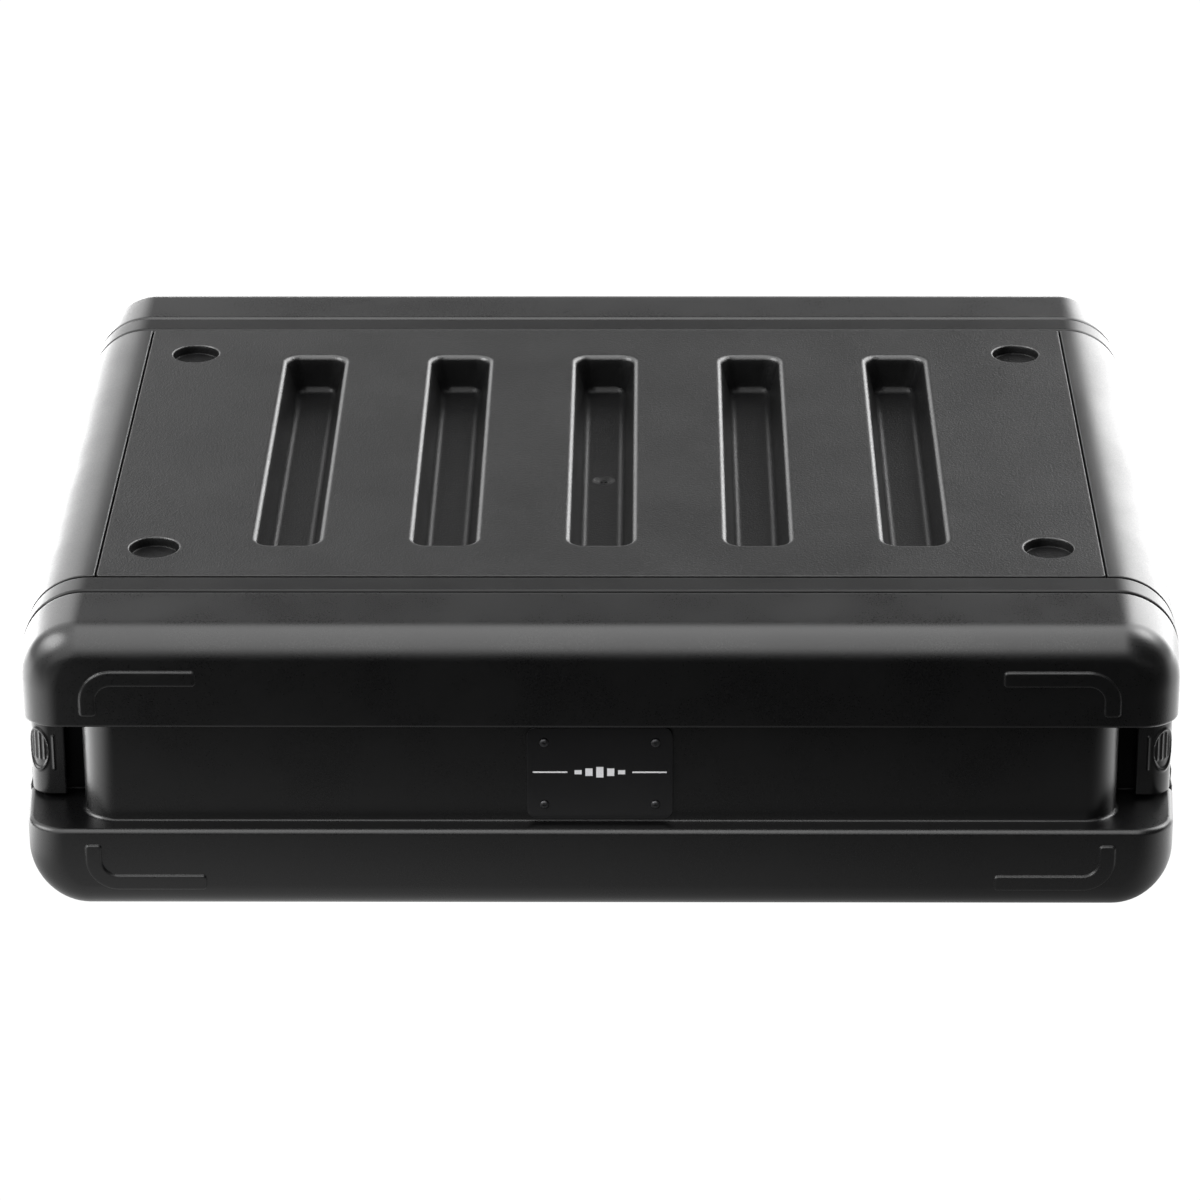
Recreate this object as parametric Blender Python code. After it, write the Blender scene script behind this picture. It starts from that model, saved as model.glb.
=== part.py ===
"""Rack-format transport case, 2 units high: panelled moulded body between two end
frames, a lift-off cover at each end, four corner push latches, two carry handles.

+Z up, front towards -Y, right towards +X. Origin: centre of the footprint, on the floor.
Lengths below are in millimetres; loft(), mirrored(), set_origin() and rounded_plate()
turn them into Blender's metres.
"""
import math

import bmesh
import bpy
from mathutils import Matrix, Vector

for old in list(bpy.data.objects):
    bpy.data.objects.remove(old, do_unlink=True)

MM = 0.001                 # metres in a millimetre

# ---------------------------------------------------------- shared dimensions
FOOT = 4.0                 # how far the rubber feet lift the shell
HALF_W = 278.0             # outer half width of the shell
CASE_H = 150.0             # outer height of the shell
HALF_H = CASE_H / 2
HALF_D = 225.0             # half of the overall depth, covers on
TOP = FOOT + CASE_H
Z_MID = FOOT + HALF_H      # mid height of the shell
R_LONG = 31.5              # radius of the long edges (front to back)
WALL = 3.5                 # moulded wall thickness
GAP = 0.3                  # running gap between neighbouring pieces

COVER_D = 48.0             # cover depth
BAND_D = 17.0              # visible depth of an end frame
Y_RIM = HALF_D - COVER_D   # joint between frame and cover
Y_SEAM = Y_RIM - BAND_D    # end of the panels

PANEL_HALF_W = 243.7       # joint between top panel and side panels
FOOT_X, FOOT_Y = 218.0, 126.3
FOOT_SPOTS = [(sx * FOOT_X, sy * FOOT_Y) for sx in (-1, 1) for sy in (-1, 1)]

WAIST = (49.7, 104.8)      # height range of the channel round the cover
PIN_X, PIN_D = 269.1, 44.6               # latch pin: half width, depth from the face
PIN_Y = -HALF_D + PIN_D                  # front latch pin
PIN_HOLE_R = 1.85
HANDLE_X, HANDLE_Z = 270.5, 100.0        # handle hinge rod
UNIT = 44.45                             # one rack unit
RAIL_SCREWS = [(sx * 249.0, Z_MID + sz * 36.0) for sx in (-1, 1) for sz in (-1, 1)]
BADGE_HOLES = [(sx * 26.6, z) for sx in (-1, 1) for z in (59.4, 92.4)]
BADGE_HOLE_R = 1.4

ENDS = (("front", 1), ("rear", -1))      # name, Y factor on a front piece
HANDS = (("right", 1), ("left", -1))     # name, X factor on a right-hand piece


# ------------------------------------------------------------------ materials
def material(name, rgb, roughness, metallic=0.0):
    made = bpy.data.materials.new(name)
    made.use_nodes = True
    shader = made.node_tree.nodes["Principled BSDF"]
    shader.inputs["Base Color"].default_value = (*rgb, 1)
    shader.inputs["Roughness"].default_value = roughness
    shader.inputs["Metallic"].default_value = metallic
    made.diffuse_color = (*rgb, 1)
    return made


M_SHELL = material("shell_plastic", rgb=(0.022, 0.022, 0.023), roughness=0.48)
M_COVER = material("cover_plastic", rgb=(0.016, 0.016, 0.017), roughness=0.40)
M_LATCH = material("latch_plastic", rgb=(0.010, 0.010, 0.011), roughness=0.35)
M_RUBBER = material("rubber", rgb=(0.012, 0.012, 0.012), roughness=0.85)
M_BADGE = material("badge_gloss", rgb=(0.004, 0.004, 0.005), roughness=0.12)
M_STEEL = material("zinc_steel", rgb=(0.55, 0.55, 0.56), roughness=0.35, metallic=1.0)
M_RAIL = material("black_steel", rgb=(0.02, 0.02, 0.021), roughness=0.45, metallic=0.6)


# ------------------------------------------------------------ flat point lists
def outline(half_x, half_y, radius_x, radius_y=None, steps=5):
    """Rounded rectangle about the origin, counter-clockwise, some steps a corner."""
    radius_y = radius_x if radius_y is None else radius_y
    points = []
    for quarter, (sx, sy) in enumerate(((1, 1), (-1, 1), (-1, -1), (1, -1))):
        for i in range(steps + 1):
            a = math.radians(90 * quarter + 90 * i / steps)
            points.append((sx * (half_x - radius_x) + radius_x * math.cos(a),
                           sy * (half_y - radius_y) + radius_y * math.sin(a)))
    return points


def arc(cx, cy, radius, start, end, steps):
    """Points on a circle between two angles in degrees."""
    angles = [math.radians(start + (end - start) * i / steps) for i in range(steps + 1)]
    return [(cx + radius * math.cos(a), cy + radius * math.sin(a)) for a in angles]


def circle(cx, cy, radius, sides):
    angles = [2 * math.pi * i / sides for i in range(sides)]
    return [(cx + radius * math.cos(a), cy + radius * math.sin(a)) for a in angles]


def front_y(depth):
    """Y of a point some depth behind the front face of the front cover."""
    return -HALF_D + depth


# ------------------------------------- stacks: lists of equal rings to be lofted
def ring_xy(points, z):
    return [(x, y, z) for x, y in points]


def ring_xz(points, y, z_centre=0.0):
    return [(x, y, z_centre + z) for x, z in points]


def prism_y(points, y0, y1, z_centre=0.0):
    return [ring_xz(points, y0, z_centre), ring_xz(points, y1, z_centre)]


def prism_z(points, z0, z1):
    return [ring_xy(points, z0), ring_xy(points, z1)]


def rounded_y(half_w, half_h, radius, y0, y1, steps):
    """Rounded rectangle at mid height, drawn out from y0 to y1."""
    return prism_y(outline(half_w, half_h, radius, steps=steps), y0, y1, Z_MID)


def box(x_range, y_range, z_range):
    (x0, x1), (y0, y1) = sorted(x_range), sorted(y_range)
    return prism_z([(x0, y0), (x1, y0), (x1, y1), (x0, y1)], *z_range)


def turned(x, y, rows, sides, base=0.0):
    """A turned shape on a vertical axis; rows are (radius, z above the base)."""
    return [ring_xy(circle(x, y, radius, sides), base + z) for radius, z in rows]


def rod_z(x, y, radius, z0, z1, sides):
    return turned(x, y, ((radius, z0), (radius, z1)), sides)


def rod_y(x, z, radius, y0, y1, sides):
    return prism_y(circle(x, z, radius, sides), y0, y1)


# --------------------------------------------------------------------- solids
def loft(bm, rings):
    """Skin a stack of rings and cap both ends."""
    rows = [[bm.verts.new([c * MM for c in point]) for point in ring] for ring in rings]
    for low, high in zip(rows, rows[1:]):
        for i in range(len(low)):
            j = (i + 1) % len(low)
            bm.faces.new((low[i], low[j], high[j], high[i]))
    bm.faces.new(rows[0])
    bm.faces.new(list(reversed(rows[-1])))


def link(name, mesh):
    ob = bpy.data.objects.new(name, mesh)
    bpy.context.scene.collection.objects.link(ob)
    return ob


def solid(name, stacks, mat=None):
    """An object from one or more stacks."""
    bm = bmesh.new()
    for rings in stacks:
        loft(bm, rings)
    bmesh.ops.remove_doubles(bm, verts=bm.verts, dist=1e-6)
    bmesh.ops.recalc_face_normals(bm, faces=bm.faces)
    mesh = bpy.data.meshes.new(name)
    bm.to_mesh(mesh)
    bm.free()
    ob = link(name, mesh)
    if mat:
        mesh.materials.append(mat)
    return ob


def combine(ob, tool, operation):
    """Apply an exact Boolean of a tool solid, then drop the tool."""
    mod = ob.modifiers.new(operation.lower(), "BOOLEAN")
    mod.operation, mod.solver, mod.object = operation, "EXACT", tool
    graph = bpy.context.evaluated_depsgraph_get()
    graph.update()
    mesh = bpy.data.meshes.new_from_object(ob.evaluated_get(graph), depsgraph=graph)
    ob.modifiers.remove(mod)
    ob.data = mesh
    bm = bmesh.new()
    bm.from_mesh(mesh)
    bmesh.ops.remove_doubles(bm, verts=bm.verts, dist=2e-6)
    bmesh.ops.dissolve_degenerate(bm, edges=bm.edges, dist=1e-6)
    bm.to_mesh(mesh)
    bm.free()
    bpy.data.objects.remove(tool, do_unlink=True)


def add(ob, stacks):
    combine(ob, solid("tool", stacks), "UNION")


def cut(ob, stacks):
    combine(ob, solid("tool", stacks), "DIFFERENCE")


def band(name, outer, inner, mat=None):
    """A closed band: one rounded_y shape with another cut out of it."""
    ob = solid(name, [rounded_y(*outer)], mat)
    cut(ob, [rounded_y(*inner)])
    return ob


def rounded_plate(name, x_range, y_range, z_range, radius, mat):
    """A thin upright plate facing sideways, with its four corners rounded."""
    ob = solid(name, [box(x_range, y_range, z_range)], mat)
    bm = bmesh.new()
    bm.from_mesh(ob.data)
    across = [e for e in bm.edges if abs(e.verts[0].co.x - e.verts[1].co.x) > 1 * MM]
    bmesh.ops.bevel(bm, geom=across, offset=radius * MM, segments=3, affect="EDGES")
    bm.to_mesh(ob.data)
    bm.free()
    return ob


def mirrored(ob, name, sx=1, sy=1, z_about=None):
    """A handed copy of a finished piece, its mirrored points written out."""
    mesh = ob.data.copy()
    mesh.name = name
    sz = 1 if z_about is None else -1
    move = Matrix.Diagonal((sx, sy, sz, 1))
    if z_about is not None:
        move = Matrix.Translation((0, 0, 2 * z_about * MM)) @ move
    mesh.transform(move)
    if sx * sy * sz < 0:
        mesh.flip_normals()
    return link(name, mesh)


def set_origin(ob, x, y, z):
    """Move an object's origin from the world origin to a point, its shape staying put."""
    place = Matrix.Translation((x * MM, y * MM, z * MM))
    ob.data.transform(place.inverted())
    ob.matrix_world = place


def copy_to_corners(ob, kind, origin=None):
    """Mirror a front right piece to the other three corners; set all four origins."""
    for end, sy in ENDS:
        for hand, sx in HANDS:
            if (sx, sy) == (1, 1):
                continue
            made = mirrored(ob, f"{end}_{hand}_{kind}", sx=sx, sy=sy)
            if origin:
                set_origin(made, sx * origin[0], sy * origin[1], origin[2])
    if origin:
        set_origin(ob, *origin)


def smooth(ob, angle=35):
    ob.data.shade_smooth()
    ob.data.set_sharp_from_angle(angle=math.radians(angle))


def make_screw(name, first, second):
    """A steel screw from two joined stacks, head and shank in either order."""
    screw = solid(name, [first], M_STEEL)
    add(screw, [second])
    smooth(screw)


# --------------------------------------------------------------- top, bottom
POCKETS = 5
POCKET_PITCH = 76.7
PANEL_CORNER = 1.5
PANEL_CHAMFER = 0.5

# Pocket rings: half width, half length, corner radius, z from the panel's outer face.
POCKET_HOLLOW = (
    (18.0, 125.4, 10.0, 1.0), (18.0, 125.4, 10.0, 0.0),
    (15.1, 122.5, 7.5, -3.0), (11.75, 121.9, 6.5, -17.0), (8.8, 119.0, 3.6, -20.0),
)
POCKET_SKIN = ((19.6, 127.0, 11.0, -2.0), (15.3, 125.2, 9.0, -18.0), (11.6, 121.8, 6.0, -23.0))

# Round dish rings: radius, z from the panel's outer face.
DISH_HOLLOW = ((12.3, 1.0), (12.3, 0.0), (11.9, -5.0))
DISH_SKIN = ((15.0, -2.0), (14.6, -8.0))
DISH_SIDES = 14


def recesses(pocket_rows, dish_rows):
    """Stacks for the row of long pockets and the four round dishes of the top panel."""
    pockets = []
    for i in range(POCKETS):
        centre = (i - (POCKETS - 1) / 2) * POCKET_PITCH
        pockets.append([
            ring_xy([(centre + x, y) for x, y in outline(half_x, half_y, r, steps=2)], TOP + z)
            for half_x, half_y, r, z in pocket_rows
        ])
    return pockets + [turned(x, y, dish_rows, DISH_SIDES, TOP) for x, y in FOOT_SPOTS]


def build_top_and_bottom():
    half_x, half_y = PANEL_HALF_W - GAP, Y_SEAM - GAP
    edge = outline(half_x, half_y, PANEL_CORNER, steps=1)
    face = outline(half_x - PANEL_CHAMFER, half_y - PANEL_CHAMFER, PANEL_CORNER, steps=1)
    top = solid("top_panel", [[
        ring_xy(edge, TOP - WALL), ring_xy(edge, TOP - PANEL_CHAMFER), ring_xy(face, TOP),
    ]], M_SHELL)
    add(top, recesses(POCKET_SKIN, DISH_SKIN))
    cut(top, recesses(POCKET_HOLLOW, DISH_HOLLOW))
    bottom = mirrored(top, "bottom_panel", z_about=Z_MID)
    # Foot screw holes.
    cut(bottom, [rod_z(x, y, 2.1, FOOT + 4, FOOT + 9, 8) for x, y in FOOT_SPOTS])
    smooth(top)
    smooth(bottom)


# --------------------------------------------------------------- side panels
LEDGE_X = 236.0            # inner edge of the ledges under the top and bottom panels
LEDGE_T = 3.0
SIDE_CUT_X = (262.0, 285.0)


def side_section():
    """XZ section of the right side panel: outer skin downwards, inner skin upwards."""
    inner_r = R_LONG - WALL
    bend_x = HALF_W - R_LONG
    bend_top, bend_low = TOP - R_LONG, FOOT + R_LONG
    ledge_top = TOP - WALL - GAP
    ledge_under = ledge_top - LEDGE_T
    reach = math.sqrt(inner_r ** 2 - (ledge_under - bend_top) ** 2)
    ledge_angle = math.degrees(math.atan2(ledge_under - bend_top, reach))
    seam = PANEL_HALF_W + GAP
    return (
        [(seam, TOP)]
        + arc(bend_x, bend_top, R_LONG, 90, 0, 6)
        + arc(bend_x, bend_low, R_LONG, 0, -90, 6)
        + [(seam, FOOT), (seam, 2 * Z_MID - ledge_top),
           (LEDGE_X, 2 * Z_MID - ledge_top), (LEDGE_X, 2 * Z_MID - ledge_under)]
        + arc(bend_x, bend_low, inner_r, -ledge_angle, 0, 4)
        + arc(bend_x, bend_top, inner_r, 0, ledge_angle, 4)
        + [(LEDGE_X, ledge_under), (LEDGE_X, ledge_top), (seam, ledge_top)]
    )


def build_side_panels():
    right = solid("right_side_panel",
                  [prism_y(side_section(), -Y_SEAM + GAP, Y_SEAM - GAP)], M_SHELL)
    latch_windows = [box(SIDE_CUT_X, (sy * 129.5, sy * 165.0), (47.0, 107.5)) for sy in (-1, 1)]
    handle_window = box(SIDE_CUT_X, (-94.0, 94.0), (49.5, 108.5))
    cut(right, latch_windows + [handle_window])
    left = mirrored(right, "left_side_panel", sx=-1)
    smooth(right)
    smooth(left)


# ------------------------------------------------------- end frames, gaskets
# Front shapes: half width, half height, corner radius, first Y, last Y, steps a corner.
FRAME = (HALF_W, HALF_H, R_LONG, -Y_SEAM, -Y_RIM + GAP, 6)
OPENING = (242.5, 47.0, 5.0, -150.0, -190.0, 2)
TONGUE_OUTER = (258.4, 62.4, 22.0, -Y_RIM + 1, -Y_RIM - 5.5, 3)
TONGUE_INNER = (255.6, 59.6, 19.2, -Y_RIM + 2, -Y_RIM - 7, 3)
GROOVE_OUTER = (268.0, 70.0, 23.0, -155.0, -Y_SEAM - 12, 3)
GROOVE_INNER = (256.0, 54.0, 8.0, -150.0, -Y_SEAM - 14, 2)
SEAT_OUTER = (263.9, 67.4, 22.4, -Y_RIM + 2.8, -Y_RIM - 1, 3)
SEAT_INNER = (260.1, 63.6, 18.6, -170.0, -185.0, 3)
GASKET_OUTER = (263.6, 67.1, 22.1, -Y_RIM + 2.5, -Y_RIM, 3)
GASKET_INNER = (260.4, 63.9, 18.9, -170.0, -180.0, 3)


def build_frames():
    front = solid("front_frame", [rounded_y(*FRAME)], M_SHELL)
    tongue = band("tongue", TONGUE_OUTER, TONGUE_INNER)
    # Only the top and bottom runs of the tongue stay.
    cut(tongue, [box((-300.0, 300.0), (-200.0, -100.0), (45.5, 109.0))])
    combine(front, tongue, "UNION")
    cut(front, [rounded_y(*OPENING)])
    combine(front, band("groove", GROOVE_OUTER, GROOVE_INNER), "DIFFERENCE")
    combine(front, band("seat", SEAT_OUTER, SEAT_INNER), "DIFFERENCE")
    notches = [box((s * 271.4, s * 290.0), (-200.0, -150.0), WAIST) for s in (-1, 1)]
    cut(front, notches + [rod_y(x, z, 2.3, -155.0, -172.0, 8) for x, z in RAIL_SCREWS])
    rear = mirrored(front, "rear_frame", sy=-1)
    smooth(front)
    smooth(rear)


def build_gaskets():
    front = band("front_gasket", GASKET_OUTER, GASKET_INNER, M_RUBBER)
    mirrored(front, "rear_gasket", sy=-1)


# -------------------------------------------------------------------- covers
NOSE_D, NOSE_X, NOSE_Z = 15.5, 17.5, 14.8    # rounded front edge: depth, width, height
DRAFT_X, DRAFT_Z = 3.8, 1.0                  # taper over the cover depth

WAIST_D = 10.0                               # channel depth on the front face
WAIST_BEND_X, WAIST_BEND_D = 231.9, 26.6     # centre of the channel's corner bend
# Right half of the channel in plan, up to the bend: x, depth from the face.
WAIST_CHANNEL = ((300.0, -10.0), (300.0, 52.0), (265.5, 52.0), (265.5, 44.2),
                 (249.3, 44.2), (248.7, 36.0))
# The same behind the channel wall.
WAIST_CORE = ((300.0, -10.0), (300.0, 52.0), (245.8, 52.0), (245.2, 36.5))

RIB_W = 7.7
RIB_R = 15.5                                 # outer corner radius
RIB_DEPTHS = (-1.0, 2.0)                     # from the face
# Corner ribs: outer x, inner end x, outer z, end z of the short leg, 1 up or -1 down.
RIBS = ((246.5, 191.0, 133.7, 110.3, 1), (246.8, 189.2, 17.8, 41.6, -1))


def cover_rings(inset, d_front, d_back, steps):
    """Rings of the front cover hull, pulled in by a wall thickness."""
    rows = []
    for i in range(steps + 1):
        a = math.radians(90 - 90 * i / steps)
        depth = NOSE_D * (1 - math.sin(a))
        taper = 1 - depth / COVER_D
        rows.append((max(depth, d_front),
                     NOSE_X * (1 - math.cos(a)) + DRAFT_X * taper + inset,
                     NOSE_Z * (1 - math.cos(a)) + DRAFT_Z * taper + inset))
    taper = 1 - d_back / COVER_D
    rows.append((d_back, DRAFT_X * taper + inset, DRAFT_Z * taper + inset))
    return [
        ring_xz(outline(HALF_W - dx, HALF_H - dz, R_LONG - dx, R_LONG - dz, steps=4),
                front_y(depth), Z_MID)
        for depth, dx, dz in rows
    ]


def waist_plan(half_path, wall, steps):
    """Plan of the waist channel, both hands, set back by a wall thickness at the bend."""
    right = [(x, front_y(depth)) for x, depth in half_path]
    right += arc(WAIST_BEND_X, front_y(WAIST_BEND_D), WAIST_BEND_D - WAIST_D - wall, 0, -90, steps)
    return right + [(-x, y) for x, y in reversed(right)]


def corner_rib(s, x_out, x_end, z_out, leg_end, up):
    """One L-shaped raised rib on the face: a horizontal leg, a corner, a vertical leg."""
    cx, cz = x_out - RIB_R, z_out - up * RIB_R
    points = [(x_end, z_out)] + arc(cx, cz, RIB_R, 90 * up, 0, 3)
    points += [(x_out, leg_end), (x_out - RIB_W, leg_end)]
    points += arc(cx, cz, RIB_R - RIB_W, 0, 90 * up, 2) + [(x_end, z_out - up * RIB_W)]
    return prism_y([(s * x, z) for x, z in points], *map(front_y, RIB_DEPTHS))


def cover_cavity():
    cavity = solid("cavity", [cover_rings(WALL, WALL, COVER_D - 3.3, 2)])
    add(cavity, [rounded_y(259.0, 63.0, 22.6, front_y(44.0), front_y(50.0), 3)])
    core = waist_plan(WAIST_CORE, WALL, 3)
    cut(cavity, [prism_z(core, WAIST[0] - WALL, WAIST[1] + WALL)])
    return cavity


def cover_pin_holes(y):
    return [rod_z(s * PIN_X, y, PIN_HOLE_R, z0, z1, 10)
            for s in (-1, 1) for z0, z1 in ((45.8, 50.5), (104.0, 108.7))]


def build_covers():
    front = solid("front_cover", [cover_rings(0.0, 0.0, COVER_D - GAP, 3)], M_COVER)
    add(front, [corner_rib(s, *rib) for s in (-1, 1) for rib in RIBS])
    cut(front, [prism_z(waist_plan(WAIST_CHANNEL, 0.0, 4), *WAIST)])
    combine(front, cover_cavity(), "DIFFERENCE")
    rear = mirrored(front, "rear_cover", sy=-1)
    cut(front, cover_pin_holes(PIN_Y) + [
        rod_y(x, z, BADGE_HOLE_R, front_y(9.0), front_y(15.0), 8) for x, z in BADGE_HOLES])
    cut(rear, cover_pin_holes(-PIN_Y))
    for cover, y in ((front, -Y_RIM), (rear, Y_RIM)):
        smooth(cover, 40)
        set_origin(cover, 0, y, Z_MID)


# --------------------------------------------------------------------- badge
BADGE_Z = 75.8             # centre height


def build_badge():
    plate = outline(35.0, 24.6, 5.0, steps=3)
    badge = solid("badge_plate",
                  [prism_y(plate, front_y(8.5), front_y(9.7), BADGE_Z)], M_BADGE)
    cut(badge, [rod_y(x, z, BADGE_HOLE_R, front_y(7.0), front_y(10.5), 8)
                for x, z in BADGE_HOLES])
    for i, (x, z) in enumerate(BADGE_HOLES, 1):
        make_screw(f"badge_screw_{i}",
                   rod_y(x, z, 2.3, front_y(7.1), front_y(8.2), 8),
                   rod_y(x, z, 1.1, front_y(8.0), front_y(15.5), 6))


# ------------------------------------------------------------------- latches
LATCH_LO, LATCH_HI = 51.2, 103.3
LATCH_T = 3.0
ARM_X = 276.0              # outer face of the lever's side arm
BEND_R = 10.0              # outer radius of the lever's bend
BEND_D = 44.9              # depth where the bend starts
BEND_RUN = 7.5             # straight run past the bend, towards the middle
# Inner side of the lever's free end, with its hook: x, depth from the face.
LEVER_HOOK = [(273.0, 86.8), (271.8, 86.8), (271.8, 90.3), (273.0, 91.4), (273.0, 92.8)]
# Web between lever and pin barrel: x, depth from the face.
LEVER_WEB = [(266.4, 43.4), (268.0, 37.2), (270.8, 38.6), (273.1, 41.6),
             (273.9, 45.2), (271.2, 46.9)]


def build_levers():
    bend_x = ARM_X - BEND_R
    inner_r = BEND_R - LATCH_T
    plan = [(ARM_X, 92.8)] + arc(bend_x, BEND_D, BEND_R, 0, -90, 5)
    plan += [(bend_x - BEND_RUN, BEND_D - BEND_R), (bend_x - BEND_RUN, BEND_D - inner_r)]
    plan += list(reversed(arc(bend_x, BEND_D, inner_r, 0, -90, 5))) + LEVER_HOOK
    plan, web = ([(x, front_y(depth)) for x, depth in path] for path in (plan, LEVER_WEB))
    lever = solid("front_right_latch_lever", [prism_z(plan, LATCH_LO, LATCH_HI)], M_LATCH)
    add(lever, [prism_z(web, LATCH_LO + 0.2, 68.0), prism_z(web, 88.0, LATCH_HI - 0.2)])
    # Pin barrels, then the holes through them.
    add(lever, [rod_z(PIN_X, PIN_Y, 3.1, LATCH_LO + 0.1, 68.5, 12),
                rod_z(PIN_X, PIN_Y, 3.1, 87.5, LATCH_HI - 0.1, 12)])
    cut(lever, [rod_z(PIN_X, PIN_Y, PIN_HOLE_R, z0, z1, 10)
                for z0, z1 in ((50.0, 70.0), (86.0, 105.0))])
    smooth(lever, 30)
    copy_to_corners(lever, "latch_lever", (PIN_X, PIN_Y, Z_MID))


def build_pins():
    pin = solid("front_right_latch_pin", [rod_z(PIN_X, PIN_Y, 1.5, 46.6, 107.9, 10)], M_STEEL)
    smooth(pin)
    copy_to_corners(pin, "latch_pin")


def coil(cx, cy, radius, wire_r, z0, z1, turns, steps, sides, leg):
    """A torsion spring: a helix of wire with two short straight legs."""
    path = []
    total = int(turns * steps)
    for i in range(total + 1):
        a = math.radians(200) + 2 * math.pi * i / steps
        path.append(Vector((cx + radius * math.cos(a), cy + radius * math.sin(a),
                            z0 + (z1 - z0) * i / total)))
    first = (path[0] - path[1]).normalized()
    last = (path[-1] - path[-2]).normalized()
    path = [path[0] + first * leg] + path + [path[-1] + last * leg]
    rings = []
    for i, point in enumerate(path):
        along = (path[min(i + 1, len(path) - 1)] - path[max(i - 1, 0)]).normalized()
        side = along.cross(Vector((0, 0, 1))).normalized()
        up = side.cross(along)
        rings.append([point + x * side + y * up for x, y in circle(0, 0, wire_r, sides)])
    return rings


def build_springs():
    wire = coil(PIN_X, PIN_Y, radius=2.25, wire_r=0.35, z0=70.5, z1=85.5,
                turns=3.5, steps=7, sides=4, leg=2.0)
    spring = solid("front_right_latch_spring", [wire], M_STEEL)
    smooth(spring, 60)
    copy_to_corners(spring, "latch_spring")


def build_keepers():
    """Flanged tray in the side panel with an upright bar across its floor."""
    keeper = rounded_plate("front_right_latch_keeper", (278.3, 279.8), (-158.7, -128.0),
                           (36.5, 119.5), 5.0, M_LATCH)
    add(keeper, [box((265.5, 279.0), (-158.7, -130.0), (47.5, 107.0))])
    cut(keeper, [box((267.5, 290.0), (-165.0, -131.6), (50.0, 104.5))])
    add(keeper, [box((266.5, 271.4), (-143.0, -139.0), (60.0, 95.0))])
    copy_to_corners(keeper, "latch_keeper")


# ---------------------------------------------------------------- rack rails
RAIL_X = 232.5                           # rack hole line, 465 mm apart
RAIL_Z = (Z_MID - UNIT, Z_MID + UNIT)
UNIT_HOLES = (6.35, 22.225, 38.1)        # hole heights in one rack unit


def build_rails():
    rail = solid("front_right_rack_rail",
                 [box((239.5, 255.8), (-159.7, -157.7), RAIL_Z)], M_RAIL)
    add(rail, [box((224.5, 241.0), (-160.3, -158.3), RAIL_Z)])
    add(rail, [box((253.8, 255.8), (-159.2, -144.5), RAIL_Z)])
    rack_holes = [rod_y(RAIL_X, Z_MID + (unit - 1) * UNIT + z, 3.3, -165.0, -155.0, 8)
                  for unit in range(2) for z in UNIT_HOLES]
    screw_holes = [rod_y(x, z, 2.5, -165.0, -155.0, 8) for x, z in RAIL_SCREWS if x > 0]
    cut(rail, rack_holes + screw_holes)
    copy_to_corners(rail, "rack_rail")


def build_rail_screws():
    for end, sy in ENDS:
        for i, (x, z) in enumerate(RAIL_SCREWS, 1):
            make_screw(f"{end}_rail_screw_{i}",
                       rod_y(x, z, 2.0, sy * -155.0, sy * -171.0, 6),
                       rod_y(x, z, 4.2, sy * -154.5, sy * -157.4, 8))


# ---------------------------------------------------------------------- feet
FOOT_ROWS = ((10.4, 0.0), (11.3, 1.0), (11.3, 8.7))      # radius, z


def build_feet():
    for i, (x, y) in enumerate(FOOT_SPOTS, 1):
        foot = solid(f"rubber_foot_{i}", [turned(x, y, FOOT_ROWS, 12)], M_RUBBER)
        cut(foot, [rod_z(x, y, 4.3, -1.0, 3.2, 8)])      # recess for the screw head
        cut(foot, [rod_z(x, y, 2.2, 2.0, 10.0, 8)])      # shank hole
        smooth(foot)
        make_screw(f"foot_screw_{i}",
                   rod_z(x, y, 3.6, 0.9, 2.9, 8), rod_z(x, y, 1.7, 2.5, 16.0, 6))


# ------------------------------------------------------------------- handles
GRIP_X, GRIP_Z, GRIP_R = 269.5, 63.0, 7.0
ARM_R = 5.0                # half width of a grip arm, round at the hinge
HINGE_HOLE = rod_y(HANDLE_X, HANDLE_Z, 2.3, -95.0, 95.0, 12)


def build_dishes():
    dish = rounded_plate("right_handle_dish", (278.3, 279.5), (-100.0, 100.0),
                         (43.5, 114.5), 8.0, M_LATCH)
    add(dish, [box((256.5, 279.0), (-93.0, 93.0), (50.0, 108.0))])
    cut(dish, [box((258.5, 290.0), (-91.0, 91.0), (52.0, 106.0))])
    cut(dish, [HINGE_HOLE])
    mirrored(dish, "left_handle_dish", sx=-1)


def build_grips():
    bar = arc(GRIP_X, GRIP_Z, GRIP_R, 0, 324, 9)
    arm = [(HANDLE_X - ARM_R, GRIP_Z), (HANDLE_X + ARM_R, GRIP_Z)]
    arm += arc(HANDLE_X, HANDLE_Z, ARM_R, 0, 180, 6)
    right = solid("right_handle_grip", [prism_y(bar, -84.0, 84.0)], M_RUBBER)
    add(right, [prism_y(arm, y0, y1) for y0, y1 in ((-88.0, -78.0), (78.0, 88.0))])
    cut(right, [HINGE_HOLE])
    smooth(right, 40)
    left = mirrored(right, "left_handle_grip", sx=-1)
    set_origin(right, HANDLE_X, 0, HANDLE_Z)
    set_origin(left, -HANDLE_X, 0, HANDLE_Z)


def build_handle_rods():
    rod = solid("right_handle_rod",
                [rod_y(HANDLE_X, HANDLE_Z, 2.0, -92.6, 92.6, 12)], M_STEEL)
    smooth(rod)
    mirrored(rod, "left_handle_rod", sx=-1)


build_top_and_bottom()
build_side_panels()
build_frames()
build_gaskets()
build_covers()
build_badge()
build_levers()
build_pins()
build_springs()
build_keepers()
build_rails()
build_rail_screws()
build_feet()
build_dishes()
build_grips()
build_handle_rods()
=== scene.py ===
"""Looks of a rack-format transport case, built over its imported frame.

The case lies flat: +Z is up, +X is right and the front faces -Y. Shapes are worked out in
millimetres and written to the meshes in metres. A depth is measured back from the front
face of the front cover. Most pieces are built at the front or on the right, then mirrored.
"""
import math
from functools import reduce

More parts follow.
